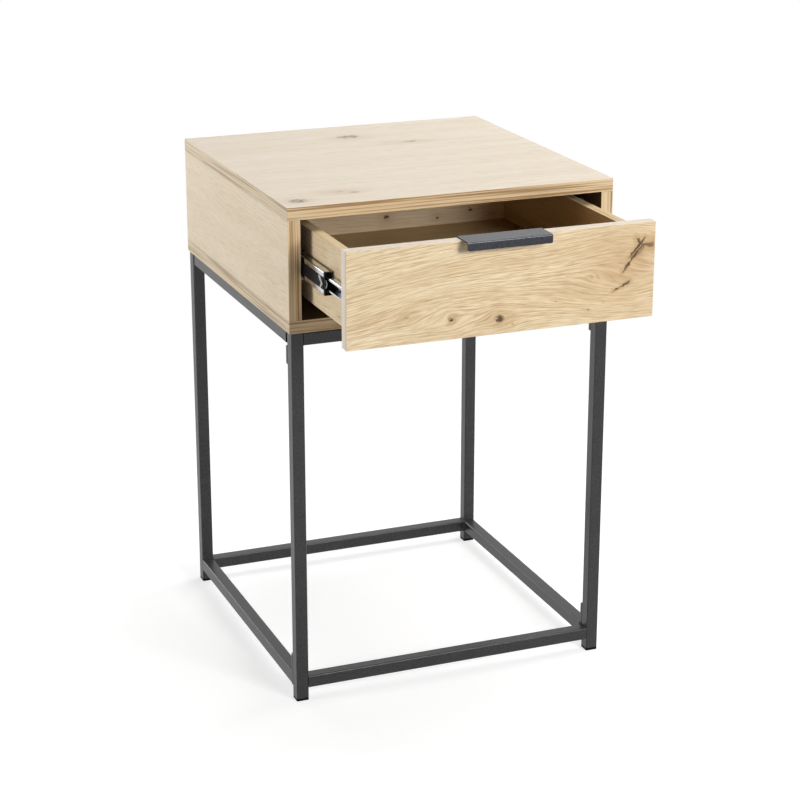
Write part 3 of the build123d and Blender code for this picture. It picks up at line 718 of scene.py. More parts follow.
@dataclass(frozen=True)
class OakFinish:
    """Oak print on a board, with flat bands on its edges.

    Attributes:
        name: Name of the material.
        grain: Axis of the grain.
        across: Axis across the grain, on the board's face.
        thick: Axis of the board's thickness.
        tones: Its colours.
        seed: Start of its random layers.
        tilt: Slope of the growth lines.
        bow: Bend of the growth lines over the board.
        line_pitch: Distance between growth lines.
        wave: Distance by which the growth lines wander.
        contrast: Strength of the grain.
        gloss: Roughness of the print.
        knots: Its knots.
        cracks: Its splits.
        inside: Direction of a face painted dark brown as the shade inside the box, as an axis and a sign.
    """

    name: str
    grain: Axis
    across: Axis
    thick: Axis
    tones: OakTones
    seed: float
    tilt: float = 0.0
    bow: float = 0.0
    line_pitch: float = 0.0042
    wave: float = 0.010
    contrast: float = 1.0
    gloss: float = 0.48
    knots: Tuple[Knot, ...] = ()
    cracks: Tuple[Crack, ...] = ()
    inside: Optional[Tuple[Axis, float]] = None

    SHINE: ClassVar[float] = 0.32
    DEPTH: ClassVar[float] = 0.00025
    BUMP: ClassVar[float] = 0.45
    EDGE_STREAKS: ClassVar[Span] = (0.45, 0.62)
    RIM_STREAKS: ClassVar[Span] = (0.50, 0.64)
    # Share of the strands in the painted shade on inner faces
    PAINTED_SHADE_STRANDS: ClassVar[float] = 0.8

    def make(self) -> bpy.types.Material:
        """Build the material.

        Returns:
            The finished oak material.
        """
        board = self.lay_out()
        for flaw in (*self.knots, *self.cracks):
            flaw.draw(board)
        grain = Grain.on(board, self.line_pitch)
        values = {
            "Base Color": self.colour(board, grain),
            "Roughness": self.gloss + grain.rough(),
            "Specular IOR Level": self.SHINE,
            "Normal": board.graph.bump(grain.relief(), self.DEPTH, self.BUMP),
        }
        return board.graph.finish(values)

    def lay_out(self) -> Board:
        """Find the places along and across the grain, on the faces and on the edges.

        Returns:
            The board without knots or splits.
        """
        graph = Graph.material(self.name)
        place = graph.axes(graph.place)
        turn = graph.axes(graph.normal)
        ends = abs(turn[self.grain.value]).above(FACING)
        bands = ends + abs(turn[self.across.value]).above(FACING)
        along = place[self.grain.value].toward(place[self.across.value], ends)
        across = place[self.across.value].toward(place[self.thick.value], bands)
        flow = across + along * self.tilt + along * along * self.bow
        board = Board(graph, self.seed, turn, bands, along, across, flow)
        board.flow = flow + (board.layer(DRIFT, across) - NOISE_MEAN) * self.wave
        return board

    def colour(self, board: Board, grain: Grain) -> bpy.types.NodeSocket:
        """Mix the colours of the faces, edges, knots and splits, with painted shade on one inner face.

        Args:
            board: Board with its knots and splits.
            grain: Its grain.

        Returns:
            The socket with the colour.
        """
        graph, tones = board.graph, self.tones
        face = 1.0 - board.bands
        colour = graph.mix(board.layer(BROAD, board.flow), tones.pale, tones.mid)
        colour = graph.mix(grain.shade() * self.contrast * face, colour, tones.dark)
        colour = graph.mix(grain.pore * (grain.PORE_WEIGHT.colour * self.contrast), colour, tones.pore)
        colour = graph.mix(board.bands, colour, self.band_colour(board))
        # Painted shade: the face given by inside turns dark brown, standing in for the shade inside the box
        if self.inside is not None:
            axis, sign = self.inside
            painted_shade = graph.mix(grain.strand * self.PAINTED_SHADE_STRANDS, PAINTED_SHADE_BROWN, PAINTED_SHADE_DARK)
            colour = graph.mix((board.turn[axis.value] * sign).above(FACING), colour, painted_shade)
        if board.halos:
            colour = graph.mix(reduce(Field.most, board.halos) * face, colour, tones.dark)
        if board.cores:
            colour = graph.mix(reduce(Field.most, board.cores) * face, colour, tones.knot)
        return colour

    def band_colour(self, board: Board) -> bpy.types.NodeSocket:
        """Mix the colours of the edge bands.

        Args:
            board: Board that has the bands.

        Returns:
            The socket with the colour.
        """
        graph, tones = board.graph, self.tones
        streak = board.layer(STREAK, board.across)
        edge = graph.mix(streak.smooth(*self.EDGE_STREAKS), tones.edge, tones.edge_line)
        rim = graph.mix(streak.smooth(*self.RIM_STREAKS), tones.rim, tones.rim_line)
        return graph.mix((-board.turn[Axis.Y.value]).above(FACING), rim, edge)


@dataclass(frozen=True)
class PowderFinish:
    """Fine-textured powder coat on steel.

    Attributes:
        name: Name of the material.
        base: Colour of the hollows.
        lift: Colour of the grit.
        rough: Mean roughness.
        grain: Grits per metre.
        depth: Height of the grit.
    """

    name: str
    base: Colour
    lift: Colour
    rough: float
    grain: float
    depth: float

    CLOUDS: ClassVar[float] = 38.0
    FLECKS_PER_GRIT: ClassVar[float] = 0.6
    PEBBLES_PER_GRIT: ClassVar[float] = 0.18
    FINENESS: ClassVar[float] = 0.6
    FLECK_EDGE: ClassVar[Span] = (0.62, 0.74)
    CLOUD: ClassVar[Weight] = Weight(colour=0.6)
    GRIT: ClassVar[Weight] = Weight(colour=0.9, rough=0.22, relief=1.0)
    PEBBLE: ClassVar[Weight] = Weight(colour=2.6, rough=0.24, relief=3.0)
    FLECK: ClassVar[Weight] = Weight(rough=-0.06, relief=0.3)
    SHINE: ClassVar[float] = 0.5
    BUMP: ClassVar[float] = 0.5

    def make(self) -> bpy.types.Material:
        """Build the material.

        Returns:
            The finished powder coat.
        """
        graph = Graph.material(self.name)
        grit = graph.noise(graph.place, self.grain, rough=self.FINENESS)
        cloud = graph.noise(graph.place, self.CLOUDS, detail=3.0) - NOISE_MEAN
        fleck = graph.noise(graph.place, self.grain * self.FLECKS_PER_GRIT, detail=1.0)
        fleck = fleck.smooth(*self.FLECK_EDGE)
        pebble = graph.noise(graph.place, self.grain * self.PEBBLES_PER_GRIT, rough=self.FINENESS)
        pebble = pebble - NOISE_MEAN
        share = cloud * self.CLOUD.colour + grit * self.GRIT.colour + pebble * self.PEBBLE.colour
        rough = self.rough + (grit - NOISE_MEAN) * self.GRIT.rough + pebble * self.PEBBLE.rough
        relief = grit * self.GRIT.relief + fleck * self.FLECK.relief + pebble * self.PEBBLE.relief
        values = {
            "Base Color": graph.mix(share, self.base, self.lift),
            "Roughness": rough + fleck * self.FLECK.rough,
            "Specular IOR Level": self.SHINE,
            "Normal": graph.bump(relief, self.depth, self.BUMP),
        }
        return graph.finish(values)


@dataclass(frozen=True)
class MetalFinish:
    """Bare or plated metal with fine drawing lines.

    Attributes:
        name: Name of the material.
        base: Bright colour.
        shade: Darker colour of the lines.
        rough: Mean roughness.
        lines: Lines per metre along each axis.
    """

    name: str
    base: Colour
    shade: Colour
    rough: float
    lines: Point

    PATCHES: ClassVar[float] = 160.0
    LINE_FINENESS: ClassVar[float] = 0.6
    LINE: ClassVar[Weight] = Weight(colour=0.6, rough=0.1)
    PATCH: ClassVar[Weight] = Weight(colour=0.5, rough=0.06)
    DEPTH: ClassVar[float] = 0.00001
    BUMP: ClassVar[float] = 0.3

    def make(self) -> bpy.types.Material:
        """Build the material.

        Returns:
            The finished metal.
        """
        graph = Graph.material(self.name)
        stretched = graph.arrow("MULTIPLY", graph.place, self.lines)
        line = graph.noise(stretched, 1.0, detail=3.0, rough=self.LINE_FINENESS)
        patch = graph.noise(graph.place, self.PATCHES) - NOISE_MEAN
        share = line * self.LINE.colour + patch * self.PATCH.colour
        rough = self.rough + (line - NOISE_MEAN) * self.LINE.rough + patch * self.PATCH.rough
        values = {
            "Base Color": graph.mix(share, self.base, self.shade),
            "Metallic": 1.0,
            "Roughness": rough,
            "Normal": graph.bump(line, self.DEPTH, self.BUMP),
        }
        return graph.finish(values)


@dataclass(frozen=True)
class PlasticFinish:
    """Moulded plastic with a fine spark-eroded grain.

    Attributes:
        name: Name of the material.
        base: Colour of the hollows.
        lift: Colour of the grain.
        rough: Mean roughness.
    """

    name: str
    base: Colour
    lift: Colour
    rough: float

    GRAINS: ClassVar[float] = 2600.0
    FLOWS: ClassVar[float] = 90.0
    GRAIN: ClassVar[Weight] = Weight(colour=0.3, rough=0.2)
    FLOW: ClassVar[Weight] = Weight(colour=0.5)
    SHINE: ClassVar[float] = 0.06
    DEPTH: ClassVar[float] = 0.00003
    BUMP: ClassVar[float] = 0.5

    def make(self) -> bpy.types.Material:
        """Build the material.

        Returns:
            The finished plastic.
        """
        graph = Graph.material(self.name)
        grain = graph.noise(graph.place, self.GRAINS)
        flow = graph.noise(graph.place, self.FLOWS)
        share = flow * self.FLOW.colour + grain * self.GRAIN.colour
        values = {
            "Base Color": graph.mix(share, self.base, self.lift),
            "Roughness": self.rough + (grain - NOISE_MEAN) * self.GRAIN.rough,
            "Specular IOR Level": self.SHINE,
            "Normal": graph.bump(grain, self.DEPTH, self.BUMP),
        }
        return graph.finish(values)


@dataclass(frozen=True)
class FibreFinish:
    """Pressed fibre board: mottled, with short fibres that lie every way.

    Attributes:
        name: Name of the material.
        base: Colour of the board.
        fibre: Colour of the fibres.
        rough: Mean roughness.
    """

    name: str
    base: Colour
    fibre: Colour
    rough: float

    MOTTLES: ClassVar[float] = 220.0
    MOTTLE_FINENESS: ClassVar[float] = 0.65
    MOTTLE_EDGE: ClassVar[Span] = (0.35, 0.7)
    SPECKS: ClassVar[float] = 1400.0
    SPECK_EDGE: ClassVar[Span] = (0.55, 0.72)
    MOTTLE: ClassVar[Weight] = Weight(colour=0.7, rough=0.2)
    SPECK: ClassVar[Weight] = Weight(colour=0.3)
    DEPTH: ClassVar[float] = 0.0001
    BUMP: ClassVar[float] = 0.4

    def make(self) -> bpy.types.Material:
        """Build the material.

        Returns:
            The finished board.
        """
        graph = Graph.material(self.name)
        mottle = graph.noise(graph.place, self.MOTTLES, detail=4.0, rough=self.MOTTLE_FINENESS)
        speck = graph.noise(graph.place, self.SPECKS).smooth(*self.SPECK_EDGE)
        share = mottle.smooth(*self.MOTTLE_EDGE) * self.MOTTLE.colour + speck * self.SPECK.colour
        values = {
            "Base Color": graph.mix(share, self.base, self.fibre),
            "Roughness": self.rough + (mottle - NOISE_MEAN) * self.MOTTLE.rough,
            "Normal": graph.bump(mottle, self.DEPTH, self.BUMP),
        }
        return graph.finish(values)


Finish = Union[OakFinish, PowderFinish, MetalFinish, PlasticFinish, FibreFinish]

FRONT_KNOTS = (
    Knot(-0.0600, 0.4960, 0.0, 0.080, 0.030, 0.60, 0.10, 0.0),
    Knot(-0.0629, 0.4954, 0.0030, 0.017, 0.012, 0.45, 0.30, 1.0),
    Knot(-0.0052, 0.4903, 0.0056, 0.019, 0.014, 0.55, 0.55, 0.9),
    Knot(-0.1130, 0.5028, 0.0030, 0.017, 0.009, 0.45, 0.45, 0.40),
    Knot(0.1068, 0.5266, 0.0022, 0.010, 0.006, 0.4, 0.22, 0.55),
    Knot(0.0624, 0.5029, 0.0017, 0.012, 0.005, 0.4, 0.22, 0.6),
    Knot(0.1023, 0.4890, 0.0018, 0.010, 0.005, 0.4, 0.2, 0.6),
    Knot(0.1204, 0.4953, 0.0022, 0.010, 0.005, 0.4, 0.2, 0.7),
    Knot(0.0106, 0.4828, 0.0019, 0.008, 0.005, 0.3, 0.2, 0.6),
    Knot(0.1450, 0.5330, 0.0, 0.058, 0.040, 0.75, 0.52, 0.0),
    Knot(0.1050, 0.5180, 0.0, 0.050, 0.022, 0.30, 0.34, 0.0),
)
FRONT_CRACKS = (
    Crack((0.1425, 0.5268), (0.1560, 0.5440), 0.0030),
    Crack((0.1500, 0.5370), (0.1684, 0.5580), 0.0036),
    Crack((0.1500, 0.5428), (0.1662, 0.5606), 0.0030),
    Crack((0.1598, 0.5452), (0.1692, 0.5552), 0.0058, 0.42),
    Crack((0.1590, 0.5652), (0.1660, 0.5578), 0.0028, 0.85),
    Crack((0.1702, 0.5652), (0.1628, 0.5574), 0.0028, 0.8),
    Crack((0.1622, 0.5654), (0.1640, 0.5586), 0.0020, 0.7),
    Crack((0.1632, 0.5614), (0.1668, 0.5576), 0.0042, 0.7),
    Crack((0.1650, 0.5576), (0.1806, 0.5546), 0.0030, 0.75),
    Crack((0.1676, 0.5568), (0.1700, 0.5534), 0.0020, 0.7),
    Crack((0.1700, 0.5562), (0.1808, 0.5588), 0.0026, 0.65),
    Crack((0.1752, 0.5556), (0.1812, 0.5564), 0.0056, 0.6),
    Crack((0.1316, 0.5073), (0.1440, 0.5122), 0.0018, 0.85),
    Crack((0.1420, 0.5113), (0.1535, 0.5170), 0.0026, 0.9),
)
TOP_KNOTS = (
    Knot(-0.006, 0.2102, 0.0140, 0.030, 0.018, 0.5, 0.40, 0.90),
    Knot(0.058, 0.157, 0.0080, 0.036, 0.012, 0.5, 0.50, 0.90),
    Knot(-0.178, -0.0960, 0.0110, 0.022, 0.016, 0.5, 0.55, 0.85),
    Knot(-0.121, -0.0711, 0.0060, 0.030, 0.014, 0.6, 0.60, 0.30),
    Knot(-0.104, -0.0790, 0.0060, 0.016, 0.008, 0.3, 0.40, 0.55),
)
FLANK_KNOTS = (
    Knot(-0.080, 0.501, 0.0, 0.060, 0.030, 0.75, 0.14, 0.0),
    Knot(0.120, 0.560, 0.0, 0.080, 0.022, 0.60, 0.08, 0.0),
)
SIDE_KNOTS = (
    Knot(-0.206, 0.5485, 0.0022, 0.014, 0.008, 0.5, 0.35, 0.6),
    Knot(-0.212, 0.4970, 0.0018, 0.012, 0.006, 0.5, 0.35, 0.6),
)
BACK_KNOTS = (
    Knot(0.0016, 0.5214, 0.0036, 0.014, 0.014, 0.5, 0.45, 0.95),
    Knot(0.0689, 0.5153, 0.0026, 0.012, 0.008, 0.5, 0.40, 0.75),
    Knot(0.1135, 0.5222, 0.0028, 0.012, 0.010, 0.5, 0.45, 0.90),
)

TOP_OAK = OakFinish(
    name="top_oak",
    grain=Axis.X,
    across=Axis.Y,
    thick=Axis.Z,
    tones=CREAM,
    seed=11.0,
    line_pitch=0.0062,
    wave=0.016,
    contrast=0.7,
    knots=TOP_KNOTS,
    # Painted shade on the underside, inside the box
    inside=(Axis.Z, -1.0),
)
BOTTOM_OAK = OakFinish(
    name="bottom_oak",
    grain=Axis.X,
    across=Axis.Y,
    thick=Axis.Z,
    tones=CREAM,
    seed=12.5,
    line_pitch=0.0062,
    contrast=0.5,
    # Painted shade on the upper face, inside the box
    inside=(Axis.Z, 1.0),
)
LEFT_OAK = OakFinish(
    name="left_side_oak",
    grain=Axis.Y,
    across=Axis.Z,
    thick=Axis.X,
    tones=FLANK,
    seed=14.0,
    line_pitch=0.0050,
    wave=0.014,
    contrast=0.8,
    knots=FLANK_KNOTS,
    # Painted shade on the inner face
    inside=(Axis.X, 1.0),
)
# Painted shade on the right side's inner face
RIGHT_OAK = replace(LEFT_OAK, name="right_side_oak", seed=15.7, knots=(), inside=(Axis.X, -1.0))
FRONT_OAK = OakFinish(
    name="front_oak",
    grain=Axis.X,
    across=Axis.Z,
    thick=Axis.Y,
    tones=HONEY,
    seed=21.0,
    tilt=-0.042,
    bow=0.35,
    wave=0.005,
    contrast=1.25,
    knots=FRONT_KNOTS,
    cracks=FRONT_CRACKS,
)
DRAWER_LEFT_OAK = OakFinish(
    name="drawer_left_oak",
    grain=Axis.Y,
    across=Axis.Z,
    thick=Axis.X,
    tones=BOX,
    seed=23.0,
    contrast=0.7,
    knots=SIDE_KNOTS,
)
# The right side takes the darker copy of the box print: painted shade
DRAWER_RIGHT_OAK = replace(DRAWER_LEFT_OAK, name="drawer_right_oak", tones=BOX_RIGHT_PAINTED_SHADE, seed=24.0, knots=())
DRAWER_BACK_OAK = OakFinish(
    name="drawer_back_oak",
    grain=Axis.X,
    across=Axis.Z,
    thick=Axis.Y,
    # Lighter copy of the box print: painted light
    tones=BOX_BACK_PAINTED_LIGHT,
    seed=25.0,
    contrast=0.7,
    knots=BACK_KNOTS,
)
DRAWER_BASE_OAK = OakFinish(
    name="drawer_base_oak",
    grain=Axis.X,
    across=Axis.Y,
    thick=Axis.Z,
    # Darker copy of the box print: painted shade
    tones=BOX_BASE_PAINTED_SHADE,
    seed=26.0,
    contrast=0.7,
)
BEECH = OakFinish("beech_dowel", Axis.X, Axis.Y, Axis.Z, HONEY, seed=40.0, line_pitch=0.004)
HARDBOARD = FibreFinish("back_hardboard", tone(150, 116, 80), tone(118, 88, 58), 0.62)
BLACK_COAT = PowderFinish("black_powder_coat", tone(9, 9, 10), tone(42, 42, 44), 0.36, 2300.0, 0.00003)
BLACK_SCREW = PowderFinish("black_screw", tone(26, 26, 28), tone(44, 44, 46), 0.36, 3200.0, 0.00006)
HANDLE_COAT = PowderFinish("anthracite_coat", tone(20, 23, 31), tone(36, 41, 51), 0.30, 2200.0, 0.00003)
ZINC = MetalFinish("bright_zinc", tone(222, 224, 228), tone(190, 194, 200), 0.17, (500.0, 9.0, 500.0))
ZINC_SCREW = MetalFinish("zinc_screw", tone(214, 216, 220), tone(168, 172, 178), 0.30, (700.0, 700.0, 700.0))
CAST_ZINC = MetalFinish("cast_zinc", tone(196, 198, 202), tone(150, 152, 156), 0.42, (500.0, 500.0, 500.0))
CAGE_STEEL = MetalFinish("cage_steel", tone(190, 188, 182), tone(142, 140, 134), 0.34, (600.0, 30.0, 600.0))
BALL_STEEL = MetalFinish("ball_steel", tone(226, 228, 232), tone(204, 206, 210), 0.12, (300.0, 300.0, 300.0))
BLACK_PLASTIC = PlasticFinish("black_plastic", tone(7, 7, 8), tone(16, 16, 18), 0.44)


class Dresser:
    """Makes each finish once and puts it on the solids' slots."""

    def __init__(self) -> None:
        """Start with nothing made."""
        self.made: Dict[str, bpy.types.Material] = {}

    def material(self, finish: Finish) -> bpy.types.Material:
        """Give a finish's material, made on first use.

        Args:
            finish: Finish that is wanted.

        Returns:
            Its material.
        """
        if finish.name not in self.made:
            self.made[finish.name] = finish.make()
        return self.made[finish.name]

    def dress(self, finishes: Dict[str, Finish]) -> None:
        """Put finishes on solids.

        Args:
            finishes: Finish for all slots of a solid, by the solid's name in the frame.
        """
        for node, finish in finishes.items():
            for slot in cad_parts[node].material_slots:
                slot.material = self.material(finish)
            LOG.info("%s gets %s", node, finish.name)


@dataclass
class Carcass:
    """Box of oak-print boards with a thin back, dowels and cam fittings."""

    top: OakFinish = TOP_OAK
    bottom: OakFinish = BOTTOM_OAK
    left: OakFinish = LEFT_OAK
    right: OakFinish = RIGHT_OAK
    back: FibreFinish = HARDBOARD

    def dress(self, dresser: Dresser) -> None:
        """Put the finishes on the box.

        Args:
            dresser: Maker of the materials.
        """
        finishes = {
            "top_panel": self.top,
            "bottom_panel": self.bottom,
            "left_side_panel": self.left,
            "right_side_panel": self.right,
            "back_panel": self.back,
            "carcass_dowels": BEECH,
            "carcass_cam_locks": CAST_ZINC,
            "carcass_cam_bolts": ZINC_SCREW,
        }
        dresser.dress(finishes)


class BeadTree(NodeBench):
    """Geometry nodes that lay a rippled weld bead along every edge of a mesh."""

    INPUTS = {"Pitch": "NodeSocketFloat", "Radius": "NodeSocketFloat", "Finish": "NodeSocketMaterial"}
    DROP_SIDES = 8
    DROP_RINGS = 5
    SMALLEST = 0.86
    LARGEST = 1.12
    SEED = 5

    def __init__(self) -> None:
        """Build the tree, with its sizes as named inputs."""
        super().__init__(bpy.data.node_groups.new("weld_bead", "GeometryNodeTree"))
        face = self.tree.interface
        face.new_socket("Seams", in_out="INPUT", socket_type="NodeSocketGeometry")
        self.keys: Dict[str, str] = {}
        for name, kind in self.INPUTS.items():
            self.keys[name] = face.new_socket(name, in_out="INPUT", socket_type=kind).identifier
        face.new_socket("Beads", in_out="OUTPUT", socket_type="NodeSocketGeometry")
        sizes = self.add("NodeGroupInput").outputs
        path = self.add("GeometryNodeMeshToCurve", None, {"Mesh": sizes["Seams"]}).outputs[0]
        steps = {"Curve": path, "Length": sizes["Pitch"]}
        path = self.add("GeometryNodeResampleCurve", {"mode": "LENGTH"}, steps).outputs[0]
        drop = {"Segments": self.DROP_SIDES, "Rings": self.DROP_RINGS, "Radius": sizes["Radius"]}
        drop_mesh = self.add("GeometryNodeMeshUVSphere", None, drop).outputs["Mesh"]
        spread = {"Min": (self.SMALLEST,) * 3, "Max": (self.LARGEST,) * 3, "Seed": self.SEED}
        size = self.add("FunctionNodeRandomValue", {"data_type": "FLOAT_VECTOR"}, spread).outputs[0]
        drops = {"Points": path, "Instance": drop_mesh, "Scale": size}
        laid = self.add("GeometryNodeInstanceOnPoints", None, drops).outputs[0]
        real = self.add("GeometryNodeRealizeInstances", None, {0: laid}).outputs[0]
        soft = self.add("GeometryNodeSetShadeSmooth", None, {0: real}).outputs[0]
        coat = {"Geometry": soft, "Material": sizes["Finish"]}
        done = self.add("GeometryNodeSetMaterial", None, coat).outputs[0]
        self.add("NodeGroupOutput", None, {0: done})


@dataclass
class SteelFrame:
    """Frame of square tube with bolted side rails, foot pads and weld beads.

    Attributes:
        coat: Finish of the tubes, plates and welds.
        bead: Radius of a weld bead's drops.
        pitch: Distance between those drops.
    """

    coat: PowderFinish = BLACK_COAT
    bead: float = 0.0013
    pitch: float = 0.0011

    ENDS: ClassVar[Tuple[str, ...]] = ("front", "rear")
    BARS: ClassVar[Tuple[str, ...]] = ("top_rail", "stretcher")

    def dress(self, dresser: Dresser) -> None:
        """Put the finishes on the frame.

        Args:
            dresser: Maker of the materials.
        """
        sides = tuple(side.value for side in Side)
        legs = [f"{end}_{side}" for end in self.ENDS for side in sides]
        dresser.dress({f"{leg}_leg": self.coat for leg in legs})
        dresser.dress({f"{leg}_foot": BLACK_PLASTIC for leg in legs})
        dresser.dress({f"{place}_{bar}": self.coat for place in self.ENDS + sides for bar in self.BARS})
        finishes = {
            "rail_end_plates": self.coat,
            "frame_bolts": BLACK_SCREW,
            "frame_rivet_nuts": ZINC_SCREW,
            "carcass_screws": BLACK_SCREW,
        }
        dresser.dress(finishes)

    def seams(self) -> List[Tuple[Point, Point]]:
        """Find where the tubes meet, on the sides that face into the frame.

        Returns:
            The two ends of each weld.
        """
        found: List[Tuple[Point, Point]] = []
        for end in self.ENDS:
            for bar in self.BARS:
                low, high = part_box(f"{end}_{bar}")
                inner = high.y if end == "front" else low.y
                found += [((x, inner, low.z), (x, inner, high.z)) for x in (low.x, high.x)]
        for side in Side:
            for bar in self.BARS:
                low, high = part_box(f"{side.value}_{bar}")
                inner = high.x if side is Side.LEFT else low.x
                found += [((inner, y, low.z), (inner, y, high.z)) for y in (low.y, high.y)]
        return found

    def weld(self, dresser: Dresser) -> bpy.types.Object:
        """Lay the weld beads.

        Args:
            dresser: Maker of the materials.

        Returns:
            The beads as one plain mesh.
        """
        points: List[Point] = []
        edges: List[Tuple[int, int]] = []
        for start, end in self.seams():
            edges.append((len(points), len(points) + 1))
            points += [start, end]
        lines = bpy.data.meshes.new("weld_lines")
        lines.from_pydata(points, edges, [])
        carrier = bpy.data.objects.new("weld_lines", lines)
        bpy.context.scene.collection.objects.link(carrier)
        tree = BeadTree()
        modifier = carrier.modifiers.new("weld_bead", "NODES")
        modifier.node_group = tree.tree
        modifier[tree.keys["Pitch"]] = self.pitch
        modifier[tree.keys["Radius"]] = self.bead
        modifier[tree.keys["Finish"]] = dresser.material(self.coat)
        ready = carrier.evaluated_get(bpy.context.evaluated_depsgraph_get())
        mesh = bpy.data.meshes.new_from_object(ready)
        carrier.modifiers.remove(modifier)
        bpy.data.objects.remove(carrier)
        beads = bpy.data.objects.new("frame_weld_beads", mesh)
        bpy.context.scene.collection.objects.link(beads)
        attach(beads, "table")
        LOG.info("frame_weld_beads: %d welds", len(edges))
        return beads


@dataclass
class Drawer:
    """Drawer with an oak-print front, plain oak-print box and a bent metal pull."""

    front: OakFinish = FRONT_OAK
    left: OakFinish = DRAWER_LEFT_OAK
    right: OakFinish = DRAWER_RIGHT_OAK
    back: OakFinish = DRAWER_BACK_OAK
    base: OakFinish = DRAWER_BASE_OAK
    pull: PowderFinish = HANDLE_COAT

    def dress(self, dresser: Dresser) -> None:
        """Put the finishes on the drawer.

        Args:
            dresser: Maker of the materials.
        """
        finishes = {
            "drawer_front": self.front,
            "drawer_left_side": self.left,
            "drawer_right_side": self.right,
            "drawer_back": self.back,
            "drawer_base": self.base,
            "drawer_dowels": BEECH,
            "drawer_cam_locks": CAST_ZINC,
            "drawer_cam_bolts": ZINC_SCREW,
            "drawer_back_screws": ZINC_SCREW,
            "drawer_handle": self.pull,
            "handle_screws": BLACK_SCREW,
        }
        dresser.dress(finishes)


def prism(
    name: str,
    normal: Axis,
    outline: Sequence[FlatPoint],
    low: float,
    high: float,
    soft: float,
) -> bpy.types.Object:
    """Make a plate or bar with soft edges from a flat outline.

    Args:
        name: Name of the object.
        normal: Axis along which the outline is thickened.
        outline: Corners on the other two axes, in their order.
        low: Start of the thickness.
        high: End of the thickness.
        soft: Width of the rounded edges.

    Returns:
        The new object.
    """
    shape = bmesh.new()
    corners = []
    for corner in outline:
        place = list(corner)
        place.insert(normal.value, low)
        corners.append(shape.verts.new(place))
    face = shape.faces.new(corners)
    lift = Vector((0.0, 0.0, 0.0))
    lift[normal.value] = high - low
    moved = bmesh.ops.extrude_face_region(shape, geom=[face])["geom"]
    lifted = [part for part in moved if isinstance(part, bmesh.types.BMVert)]
    bmesh.ops.translate(shape, vec=lift, verts=lifted)
    bmesh.ops.recalc_face_normals(shape, faces=shape.faces[:])
    bmesh.ops.bevel(shape, geom=shape.edges[:], offset=soft, segments=2, affect="EDGES", clamp_overlap=True)
    mesh = bpy.data.meshes.new(name)
    shape.to_mesh(mesh)
    shape.free()
    made = bpy.data.objects.new(name, mesh)
    bpy.context.scene.collection.objects.link(made)
    return made


